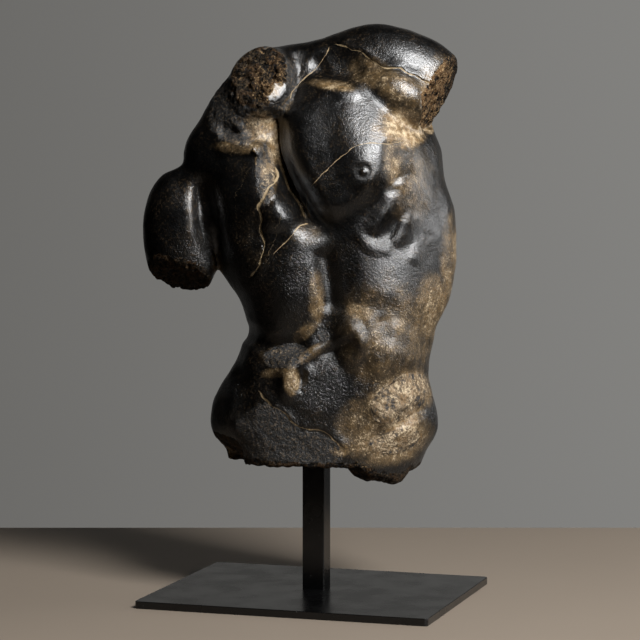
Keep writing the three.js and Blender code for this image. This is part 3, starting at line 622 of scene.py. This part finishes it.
def turn_matrix(turn):
    roll, nod, yaw = (math.radians(angle) for angle in turn)
    swung = Matrix.Rotation(yaw, 3, "Z") @ Matrix.Rotation(nod, 3, "X")
    return np.array(swung @ Matrix.Rotation(roll, 3, "Y"))


def egg(x, y, z, at, size, turn):
    placed = np.stack([x - at[0], y - at[1], z - at[2]], -1) @ turn_matrix(turn)
    parts = placed / np.array(size)
    reach = np.linalg.norm(parts, axis=-1)
    slope = np.linalg.norm(parts / np.array(size), axis=-1)
    return reach * (reach - 1) / np.maximum(slope, LEAST_SLOPE)


def close_to(x, y, z, at, reach):
    """The numbers of the points in a cube round a place."""
    apart = np.maximum(np.abs(x - at[0]), np.abs(y - at[1]))
    return np.flatnonzero(np.maximum(apart, np.abs(z - at[2])) < reach)


def swell(u, v, at, size, turn):
    angle = math.radians(turn)
    along = (math.cos(angle) * (u - at[0]) + math.sin(angle) * (v - at[1])) / size[0]
    across = (-math.sin(angle) * (u - at[0]) + math.cos(angle) * (v - at[1])) / size[1]
    return smooth_step(0, 1, 1 - along ** 2 - across ** 2)


def line_distance(u, v, points):
    """Signed distance to a path, and the share of the way along it."""
    nearest = np.full(len(u), FAR_AWAY)
    side = np.zeros(len(u))
    share = np.zeros(len(u))
    lengths = np.linalg.norm(np.diff(points, axis=0), axis=1)
    runs = np.concatenate([[0], np.cumsum(lengths)])
    for a, b, run, length in zip(points, points[1:], runs, lengths):
        du, dv = (b - a) / length
        t = np.clip((u - a[0]) * du + (v - a[1]) * dv, 0, length)
        distance = np.hypot(u - a[0] - t * du, v - a[1] - t * dv)
        nearer = distance < nearest
        nearest[nearer] = distance[nearer]
        side[nearer] = np.sign(du * (v[nearer] - a[1]) - dv * (u[nearer] - a[0]))
        share[nearer] = (run + t[nearer]) / runs[-1]
    return nearest * side, share


def path_indices(u, v, points, reach):
    low, high = points.min(axis=0) - reach, points.max(axis=0) + reach
    return np.flatnonzero((u > low[0]) & (u < high[0]) & (v > low[1]) & (v < high[1]))


def relief(x, y, z):
    u, v = to_picture(x, y, z)
    rise = np.zeros(len(x))
    for _, at, size, turn, height in SWELLS:
        near = path_indices(u, v, np.array([at], float), max(size))
        rise[near] += height * swell(u[near], v[near], at, size, turn)
    for _, path, half_width, height in CREASES:
        points = smooth_path(path)
        near = path_indices(u, v, points, half_width)
        distance, share = line_distance(u[near], v[near], points)
        profile = np.clip(1 - (distance / half_width) ** 2, 0, 1) ** 2
        fade = smooth_step(0, CREASE_FADE, share) * smooth_step(1, 1 - CREASE_FADE, share)
        rise[near] += height * profile * fade
    return rise * smooth_step(RELIEF_STARTS, RELIEF_FULL, y)


def underside(x, y):
    level = UNDERSIDE_FRONT - UNDERSIDE_FALL * smooth_step(UNDERSIDE_FALL_FROM, UNDERSIDE_FALL_TO, y)
    for at, size, turn, drop in UNDERSIDE_LUMPS:
        level = level - drop * swell(x, y, at, size, turn)
    return level


def form_field(x, y, z):
    form = trunk(x, y, z)
    for _, at, size, turn, melt in MASSES:
        near = close_to(x, y, z, at, max(size) + melt + FORM_MARGIN)
        form[near] = joined(form[near], egg(x[near], y[near], z[near], at, size, turn), melt)
    front = np.flatnonzero(y < RELIEF_STARTS)
    form[front] -= relief(x[front], y[front], z[front])
    for _, at, size, turn, melt in HOLLOWS:
        near = close_to(x, y, z, at, max(size) + melt + FORM_MARGIN)
        form[near] = common(form[near], -egg(x[near], y[near], z[near], at, size, turn), melt)
    return form


# The surface's fine detail, which the part leaves out


def stone_depth(x, y, z):
    """How rough each place is, from 0 to 1, by the rough patches."""
    u, v = to_picture(x, y, z)
    rough = np.zeros(len(x))
    for _, at, size, turn, strength in ROUGH_PATCHES:
        near = path_indices(u, v, np.array([at], float), max(size))
        spot = strength * smooth_step(0, ROUGH_FULL, swell(u[near], v[near], at, size, turn))
        rough[near] = np.maximum(rough[near], spot)
    return rough * smooth_step(DETAIL_ENDS, DETAIL_FULL, y)


def break_field(form, x, y, z):
    """Cuts the broken faces, each with its stone grain."""
    for _, at, facing, reach, melt, roughness in BREAKS:
        near = close_to(x, y, z, at, reach)
        px, py, pz = x[near] - at[0], y[near] - at[1], z[near] - at[2]
        way = np.array(facing) / np.linalg.norm(facing)
        beyond = px * way[0] + py * way[1] + pz * way[2]
        beyond = beyond + roughness * ripple(x[near], y[near], z[near], BREAK_RIPPLE)
        grain = rocky(x[near], y[near], z[near], GRAIN_SIZE, SEEDS["broken faces"])
        beyond = beyond + min(1, roughness) * GRAIN_DEPTH * grain
        within = reach - np.sqrt(px ** 2 + py ** 2 + pz ** 2)
        form[near] = common(form[near], np.minimum(beyond, within), melt)
    level = underside(x, y) - z
    low = np.flatnonzero(z < UNDERSIDE_REACH)
    cut = level[low] + UNDERSIDE_ROUGHNESS * ripple(x[low], y[low], z[low], UNDERSIDE_RIPPLE)
    cut = cut + GRAIN_DEPTH * rocky(x[low], y[low], z[low], UNDERSIDE_GRAIN_SIZE, SEEDS["underside"])
    form[low] = common(form[low], cut, UNDERSIDE_MELT)
    return form


def near_cracks(x, y, z):
    """For each crack the points near it, their signed distance and its fade, and its sizes."""
    u, v = to_picture(x, y, z)
    u = u + CRACK_WANDER * noise(x, y, z, CRACK_WANDER_SIZE, SEEDS["cracks across"])
    v = v + CRACK_WANDER * noise(x, y, z, CRACK_WANDER_SIZE, SEEDS["cracks up"])
    for _, path, half_width, depth, step in CRACKS:
        points = smooth_path(path)
        near = path_indices(u, v, points, CRACK_REACH)
        near = near[y[near] < CRACKS_END]
        distance, share = line_distance(u[near], v[near], points)
        fade = smooth_step(0, CRACK_FADE, share) * smooth_step(1, 1 - CRACK_FADE, share)
        yield near, distance, fade, half_width, depth, step


def crack_rise(x, y, z):
    rise = np.zeros(len(x))
    for near, distance, fade, half_width, depth, step in near_cracks(x, y, z):
        furrow = -depth * np.exp(-(distance / half_width) ** 2)
        edge = step * smooth_step(-CRACK_EDGE, CRACK_EDGE, distance)
        edge = edge * smooth_step(CRACK_REACH, CRACK_STEP_FULL, np.abs(distance))
        rise[near] += (furrow + edge) * fade
    return rise * smooth_step(CRACKS_END, CRACKS_FULL, y)


def torso_field(x, y, z):
    form = form_field(x, y, z)
    front = np.flatnonzero(y < DETAIL_ENDS)
    at = x[front], y[front], z[front]
    stone = ROUGH_RISE * stone_depth(*at) * rocky(*at, ROUGH_SIZE, SEEDS["rough patches"])
    form[front] -= crack_rise(*at) + stone
    uneven = HAND_RISE * noise(x, y, z, HAND_SIZE, SEEDS["hand"])
    form -= uneven + HAND_FINE_RISE * noise(x, y, z, HAND_FINE_SIZE, SEEDS["fine hand"])
    return break_field(form, x, y, z)


# Finding the surface: one point in each grid cell that it crosses

CELL_CORNERS = [(a, b, c) for c in (0, 1) for b in (0, 1) for a in (0, 1)]
CELL_EDGES = [
    (0, 1), (2, 3), (4, 5), (6, 7),
    (0, 2), (1, 3), (4, 6), (5, 7),
    (0, 4), (1, 5), (2, 6), (3, 7),
]


def refined(values, factor):
    """The same values on a grid with this many steps for each old one."""
    for axis in range(3):
        values = np.moveaxis(values, axis, 0)
        count = (len(values) - 1) * factor + 1
        at = np.arange(count) / factor
        low = np.minimum(at.astype(int), len(values) - 2)
        share = (at - low)[:, None, None].astype(np.float32)
        values = values[low] * (1 - share) + values[low + 1] * share
        values = np.moveaxis(values, 0, axis)
    return values


def sampled_field():
    """The field on the fine grid: worked out near the surface, and roughly elsewhere."""
    ends = zip(GRID_LOW, GRID_HIGH)
    axes = [np.arange(low, high + COARSE_STEP, COARSE_STEP) for low, high in ends]
    places = np.meshgrid(*axes, indexing="ij")
    coarse = torso_field(*(place.ravel() for place in places)).reshape(places[0].shape)
    fine = refined(coarse.astype(np.float32), FINE_PER_COARSE)
    near = np.nonzero(np.abs(fine) < BAND)
    step = COARSE_STEP / FINE_PER_COARSE
    x, y, z = (low + index * step for low, index in zip(GRID_LOW, near))
    fine[near] = torso_field(x, y, z)
    return fine, step


def surface_points(values, step):
    inside = values < 0
    shape = np.array(values.shape) - 1
    count = np.zeros(shape, np.int8)
    for a, b, c in CELL_CORNERS:
        count += inside[a:a + shape[0], b:b + shape[1], c:c + shape[2]]
    crossed = (count > 0) & (count < len(CELL_CORNERS))
    cells = np.argwhere(crossed)
    number = np.full(shape, -1, np.int32)
    number[crossed] = np.arange(len(cells))
    corner_values = [values[tuple((cells + corner).T)] for corner in CELL_CORNERS]
    total = np.zeros((len(cells), 3))
    crossings = np.zeros(len(cells))
    for a, b in CELL_EDGES:
        start, stop = corner_values[a], corner_values[b]
        split = (start < 0) != (stop < 0)
        share = start[split] / (start[split] - stop[split])
        corner_a, corner_b = np.array(CELL_CORNERS[a]), np.array(CELL_CORNERS[b])
        total[split] += corner_a + share[:, None] * (corner_b - corner_a)
        crossings[split] += 1
    points = (cells + total / crossings[:, None]) * step + np.array(GRID_LOW)
    return points, number, inside


def surface_faces(number, inside):
    faces = []
    for axis in range(3):
        one, other = (axis + 1) % 3, (axis + 2) % 3
        here = np.moveaxis(inside, (axis, one, other), (0, 1, 2))
        cells = np.moveaxis(number, (axis, one, other), (0, 1, 2))
        start, stop = here[:-1, 1:-1, 1:-1], here[1:, 1:-1, 1:-1]
        a, b, c = np.nonzero(start != stop)
        corners = [cells[a, b + i, c + j] for i, j in ((1, 1), (0, 1), (0, 0), (1, 0))]
        quads = np.stack(corners, -1)
        leaving = start[a, b, c]
        quads[~leaving] = quads[~leaving][:, ::-1]
        faces.append(quads)
    return np.concatenate(faces)


def to_row(points):
    """From the torso's own frame in millimetres to the row frame in metres."""
    return (points @ np.array(TORSO_ROTATION.transposed()) + TORSO_PLACE) * MM


def to_torso(points):
    return (points / MM - TORSO_PLACE) @ TORSO_AXES


def torso_mesh():
    values, step = sampled_field()
    points, number, inside = surface_points(values, step)
    faces = surface_faces(number, inside)
    raw = bpy.data.meshes.new("torso_raw")
    raw.from_pydata(to_row(points).tolist(), [], faces.tolist())
    whole = bpy.data.objects.new("torso_whole", raw)
    bpy.context.collection.objects.link(whole)
    thin = whole.modifiers.new("thin", "DECIMATE")
    thin.ratio = TORSO_TRIANGLES / (2 * len(faces))
    graph = bpy.context.evaluated_depsgraph_get()
    mesh = bpy.data.meshes.new_from_object(whole.evaluated_get(graph))
    mesh.name = "torso_carved"
    mesh.validate()
    bpy.data.objects.remove(whole)
    bpy.data.meshes.remove(raw)
    mesh.shade_smooth()
    return mesh


# Where the patina lies: numbers on the torso's points, for its material


def spots(u, v, rows):
    strength = np.zeros(len(u))
    for _, at, size, turn, amount in rows:
        near = path_indices(u, v, np.array([at], float), max(size))
        strength[near] = np.maximum(strength[near], amount * swell(u[near], v[near], at, size, turn))
    return strength


def hollowness(points, normals, reach):
    """How closed in each point is, from 0 on open ground to 1 deep in a furrow."""
    probe = points + normals * reach
    return np.clip(1 - form_field(*probe.T) / reach, 0, 1)


def vertex_numbers(mesh, name):
    values = np.empty(3 * len(mesh.vertices))
    mesh.vertices.foreach_get(name, values)
    return values.reshape(-1, 3)


def on_breaks(points, normals):
    """How far each point lies on a rough broken face, and how far on a smooth one, from 0 to 1."""
    rough = np.zeros(len(points))
    smooth = np.zeros(len(points))
    for _, at, facing, reach, _, roughness in BREAKS:
        near = close_to(*points.T, at, reach)
        way = np.array(facing) / np.linalg.norm(facing)
        apart = points[near] - np.array(at)
        level = smooth_step(BREAK_STARTS, BREAK_FULL, apart @ way)
        facing_it = smooth_step(BREAK_TURNED_AWAY, BREAK_TURNED_TO, normals[near] @ way)
        within = smooth_step(reach, BREAK_RIM * reach, np.linalg.norm(apart, axis=1))
        share = smooth if roughness < SMOOTH_FACET else rough
        share[near] = np.maximum(share[near], level * facing_it * within)
    return rough, smooth


def crack_numbers(x, y, z):
    """The signed distance to the nearest crack, and that crack's half width."""
    side = np.full(len(x), NO_CRACK)
    width = np.zeros(len(x))
    for near, distance, fade, half_width, _, _ in near_cracks(x, y, z):
        closer = np.abs(distance) < np.abs(side[near])
        side[near[closer]] = distance[closer]
        width[near[closer]] = (half_width * fade)[closer]
    return side, width


def set_face_slots(mesh, cut):
    """Gives the second material to each face that a broken place touches."""
    corners = np.empty(len(mesh.loops), np.int32)
    mesh.loops.foreach_get("vertex_index", corners)
    first_corners = np.empty(len(mesh.polygons), np.int32)
    mesh.polygons.foreach_get("loop_start", first_corners)
    broken = np.maximum.reduceat(cut[corners], first_corners) > BROKEN_ABOVE
    mesh.polygons.foreach_set("material_index", broken.astype(np.int32))


def paint_torso(mesh):
    points = to_torso(vertex_numbers(mesh, "co"))
    normals = vertex_numbers(mesh, "normal") @ TORSO_AXES
    x, y, z = points.T
    u, v = to_picture(x, y, z)
    front = smooth_step(DETAIL_ENDS, DETAIL_FULL, y)
    broad = noise(x, y, z, CLOUD_SIZE, SEEDS["clouds"])
    broad = broad + 0.5 * noise(x, y, z, SMALL_CLOUD_SIZE, SEEDS["small clouds"])
    rough, smooth = on_breaks(points, normals)
    wander = EDGE_WANDER * noise(x, y, z, EDGE_WANDER_SIZE, SEEDS["edge"])
    below = smooth_step(EDGE_STARTS, EDGE_FULL, underside(x, y) - z + wander)
    cut = np.maximum(rough * (1 - smooth), below)
    stone = stone_depth(x, y, z) * (1 - smooth)
    furrows = smooth_step(FURROW_STARTS, FURROW_FULL, hollowness(points, normals, FURROW_REACH))
    ochre = np.maximum(spots(u, v, OCHRE_PATCHES) * front, FURROW_OCHRE * furrows * (1 - cut))
    clouds = smooth_step(SIDE_CLOUDS_START, SIDE_CLOUDS_FULL, broad)
    ochre = np.maximum(ochre, SIDE_OCHRE * (1 - front) * clouds)
    sandy = smooth_step(SANDY_ABOVE, SANDY_BELOW, v + SANDY_WANDER * broad)
    side, width = crack_numbers(x, y, z)
    set_face_slots(mesh, cut)
    numbers = {
        "ochre": ochre, "stone": np.maximum(stone, cut), "crack_side": side, "crack_width": width,
        "coarseness": SMOOTHEST + (1 - SMOOTHEST) * np.maximum(sandy, cut),
    }
    for name, values in numbers.items():
        layer = mesh.attributes.new(name, "FLOAT", "POINT")
        layer.data.foreach_set("value", values.astype(np.float32))


# Materials


class Graph:
    """The nodes of a material or of the sky, with a short call for each kind."""

    def __init__(self, owner):
        owner.use_nodes = True
        self.tree = owner.node_tree

    def put(self, socket, value):
        if isinstance(value, bpy.types.NodeSocket):
            self.tree.links.new(value, socket)
        elif socket.type == "RGBA":
            socket.default_value = (*value, 1.0)
        else:
            socket.default_value = value

    def node(self, kind, output, inputs, **settings):
        made = self.tree.nodes.new("ShaderNode" + kind)
        for name, value in settings.items():
            setattr(made, name, value)
        for name, value in inputs.items():
            self.put(made.inputs[name], value)
        return made.outputs[output]

    def math(self, operation, *values, clamp=False):
        return self.node("Math", 0, dict(enumerate(values)), operation=operation, use_clamp=clamp)

    def times(self, one, other):
        return self.math("MULTIPLY", one, other)

    def plus(self, one, other):
        return self.math("ADD", one, other)

    def less(self, one, other):
        return self.math("SUBTRACT", one, other)

    def ramp(self, value, name):
        """A smooth step of a value, as the table of ramps says."""
        start, stop, low, high = RAMPS[name]
        inputs = {"Value": value, "From Min": start, "From Max": stop, "To Min": low, "To Max": high}
        return self.node("MapRange", "Result", inputs, interpolation_type="SMOOTHSTEP")

    def place(self):
        return self.node("TexCoord", "Object", {})

    def noise(self, name):
        size, detail, roughness = NOISES[name]
        inputs = {"Vector": self.place(), "Scale": 1 / (size * MM), "Detail": detail, "Roughness": roughness}
        return self.node("TexNoise", "Fac", inputs)

    def carried(self, name):
        """A number that the mesh carries at its points."""
        return self.node("Attribute", "Fac", {}, attribute_name=name)

    def mixed(self, share, one, other):
        return self.node("Mix", "Result", {"Factor": share, "A": one, "B": other}, data_type="RGBA")

    def bump(self, height, depth, strength=1.0, **below):
        inputs = {"Distance": depth * MM, "Strength": strength, "Height": height, **below}
        return self.node("Bump", "Normal", inputs)

    def sky_along(self, axis):
        """How far a place of the sky lies along one of the torso's own directions, from -1 to 1."""
        ways = {0: self.node("TexCoord", "Generated", {}), 1: TORSO_ROTATION @ Vector(axis)}
        return self.node("VectorMath", "Value", ways, operation="DOT_PRODUCT")


def material_of(look):
    """A material named after the function that gives its shader's inputs."""
    material = bpy.data.materials.new(look.__name__)
    graph = Graph(material)
    shader = graph.tree.nodes["Principled BSDF"]
    for name, value in look(graph).items():
        graph.put(shader.inputs[name], value)
    return material


def resin_patina(graph):
    """Near-black with a warm speckle, stone, tan where it is worn, and the cracks."""
    ochre, stone, coarse = (graph.carried(name) for name in ("ochre", "stone", "coarseness"))
    side = graph.math("ABSOLUTE", graph.carried("crack_side"))
    width = graph.carried("crack_width")
    wide, middle, fine, grain = (graph.noise(name) for name in ("wide", "middle", "fine", "grain"))

    base = graph.mixed(graph.ramp(wide, "warm"), NEAR_BLACK, WARM_BLACK)
    dust = graph.times(graph.ramp(fine, "dust"), graph.ramp(wide, "dusty areas"))
    base = graph.mixed(dust, base, SANDY)

    rock = graph.mixed(graph.ramp(fine, "rock"), ROCK_DARK_AND_PIT_SHADE, ROCK_LIGHT)
    broken = graph.ramp(graph.plus(stone, graph.less(middle, 0.5)), "broken")
    base = graph.mixed(graph.times(broken, ROCK_SHARE), base, rock)

    density = graph.times(ochre, graph.ramp(graph.noise("clouds"), "clouds"))
    density = graph.times(density, graph.ramp(graph.noise("streaks"), "streaks"))
    pocks = graph.ramp(graph.noise("pocks"), "pocks")
    density = graph.less(density, graph.times(pocks, graph.times(broken, coarse)))
    base = graph.mixed(graph.ramp(density, "haze"), base, HAZE_BROWN)

    sand = graph.plus(graph.times(grain, GRAIN_SHARE), graph.times(fine, 1 - GRAIN_SHARE))
    speckle = graph.times(graph.less(sand, SPECKLE_LEVEL), SPECKLE_SPREAD)
    speckle = graph.times(speckle, coarse)
    worn = graph.ramp(graph.plus(graph.times(density, WORN_DENSITY), speckle), "worn")
    tan = graph.mixed(graph.ramp(middle, "tan"), OCHRE_DARK, OCHRE_LIGHT)
    base = graph.mixed(worn, base, tan)

    loose = graph.ramp(graph.noise("looseness"), "looseness")
    open_width = graph.times(graph.math("MAXIMUM", width, LEAST_CRACK), loose)
    gap = graph.math("DIVIDE", side, open_width)
    crack = graph.times(graph.ramp(gap, "crack edge"), graph.ramp(width, "crack end"))
    base = graph.mixed(graph.times(crack, CRACK_SHARE), base, CRACK_TAN)

    dull = graph.math("MAXIMUM", graph.times(worn, WORN_DULLNESS), broken)
    dull = graph.times(graph.math("MAXIMUM", dull, crack), DULL_ROUGHNESS)
    rough = graph.math("ADD", graph.ramp(middle, "wax"), dull, clamp=True)
    gritty = graph.plus(coarse, graph.times(broken, STONE_GRIT))
    pits = graph.bump(graph.times(fine, gritty), PIT_DEPTH)
    grit = graph.bump(graph.times(grain, coarse), GRIT_DEPTH, Normal=pits)
    return {"Base Color": base, "Roughness": rough, "Normal": grit, "Specular IOR Level": PATINA_SPECULAR}


def broken_resin(graph):
    """The craggy brown and black stone of the broken faces, with tan flecks and with shade painted black
    into the low places between its crags.
    """
    wide, fine, lumps = (graph.noise(name) for name in ("break wide", "break fine", "break lumps"))
    rock = graph.mixed(graph.ramp(fine, "break rock"), ROCK_DARK_AND_PIT_SHADE, ROCK_LIGHT)
    rock = graph.mixed(graph.ramp(wide, "break warm"), rock, BREAK_BROWN)
    flecks = graph.times(graph.carried("ochre"), FLECK_OCHRE)
    flecks = graph.plus(flecks, graph.less(fine, FLECK_LEVEL))
    flecks = graph.times(flecks, graph.ramp(wide, "fleck areas"))
    tan = graph.mixed(graph.ramp(fine, "break rock"), BREAK_BROWN, BREAK_TAN)
    rock = graph.mixed(graph.ramp(flecks, "flecks"), rock, tan)
    # Painted shade: black where the lumps that raise the crag bump below sink lowest
    rock = graph.mixed(graph.ramp(lumps, "painted pit shade"), rock, ROCK_DARK_AND_PIT_SHADE)
    crags = graph.bump(lumps, CRAG_DEPTH)
    crumbs = graph.bump(fine, CRUMB_DEPTH, Normal=crags)
    rough = graph.ramp(fine, "break roughness")
    return {"Base Color": rock, "Roughness": rough, "Normal": crumbs, "Specular IOR Level": BREAK_SPECULAR}


def stand_paint(graph):
    """Satin black paint with a faint peel, cloudy gloss and a little lint."""
    inputs = {"Vector": graph.place(), "Scale": 1 / (LINT_SPACING * MM)}
    lint = graph.ramp(graph.node("TexVoronoi", "Distance", inputs), "lint")
    return {
        "Base Color": graph.mixed(lint, PAINT_BLACK, DUST_GREY),
        "Roughness": graph.ramp(graph.noise("paint clouds"), "paint roughness"),
        "Normal": graph.bump(graph.noise("paint peel"), PEEL_DEPTH, PEEL_STRENGTH),
    }


def floor_pale(graph):
    darker = [FLOOR_DARKER * part for part in FLOOR_COLOUR]
    colour = graph.mixed(graph.noise("floor"), darker, FLOOR_COLOUR)
    return {"Base Color": colour, "Roughness": FLOOR_ROUGHNESS}


# The scene's pieces


def make_torso():
    mesh = torso_mesh()
    paint_torso(mesh)
    carved = bpy.data.objects.new("torso_carved", mesh)
    bpy.context.collection.objects.link(carved)
    mesh.materials.append(material_of(resin_patina))
    mesh.materials.append(material_of(broken_resin))
    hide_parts("torso")
    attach(carved, "root")


def dress_stand():
    paint = material_of(stand_paint)
    for name in ("post", "base_plate"):
        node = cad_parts[name]
        node.data.materials.clear()
        node.data.materials.append(paint)


def make_floor():
    low, high, back = -FLOOR_HALF, FLOOR_HALF, FLOOR_BACK
    corners = ((low, low, 0), (high, low, 0), (high, back, 0), (low, back, 0))
    mesh = bpy.data.meshes.new("floor")
    mesh.from_pydata([TORSO_ROTATION @ Vector(corner) for corner in corners], [], [(0, 1, 2, 3)])
    mesh.materials.append(material_of(floor_pale))
    floor = bpy.data.objects.new("floor", mesh)
    bpy.context.collection.objects.link(floor)


def make_world():
    """A grey backdrop, darker to the left, which lights the torso only from behind."""
    world = bpy.data.worlds.new("studio")
    graph = Graph(world)
    background = graph.tree.nodes["Background"]
    across = graph.ramp(graph.sky_along((1, 0, 0)), "backdrop")
    behind = graph.ramp(graph.sky_along((0, 1, 0)), "wall light")
    seen = graph.node("LightPath", "Is Camera Ray", {})
    graph.put(background.inputs["Color"], graph.mixed(across, BACKDROP_LEFT, BACKDROP_RIGHT))
    graph.put(background.inputs["Strength"], graph.math("MAXIMUM", seen, behind))
    bpy.context.scene.world = world


def aim_along(thing, way):
    thing.rotation_mode = "QUATERNION"
    thing.rotation_quaternion = way.to_track_quat("-Z", "Y")


def soft_light(name, place, size, power):
    """A square light in the torso's own directions, aimed at the torso's middle."""
    data = bpy.data.lights.new(name, "AREA")
    data.shape = "SQUARE"
    data.size = size
    data.energy = power
    lamp = bpy.data.objects.new(name, data)
    lamp.location = TORSO_ROTATION @ Vector(place)
    aim_along(lamp, Vector(AIM) - lamp.location)
    bpy.context.collection.objects.link(lamp)


def make_camera():
    data = bpy.data.cameras.new("camera")
    data.sensor_width = CAMERA_SENSOR
    data.lens = CAMERA_LENS
    data.shift_x = CAMERA_SHIFT
    data.clip_end = CAMERA_CLIP
    camera = bpy.data.objects.new("camera", data)
    camera.location = TORSO_ROTATION @ Vector((0, -CAMERA_BACK, CAMERA_UP))
    aim_along(camera, TORSO_ROTATION @ Vector((0, math.cos(CAMERA_PITCH), -math.sin(CAMERA_PITCH))))
    bpy.context.collection.objects.link(camera)
    bpy.context.scene.camera = camera


bpy.context.scene.view_settings.view_transform = "Standard"
make_camera()
make_world()
make_floor()
for lamp in LIGHTS:
    soft_light(*lamp)
dress_stand()
make_torso()
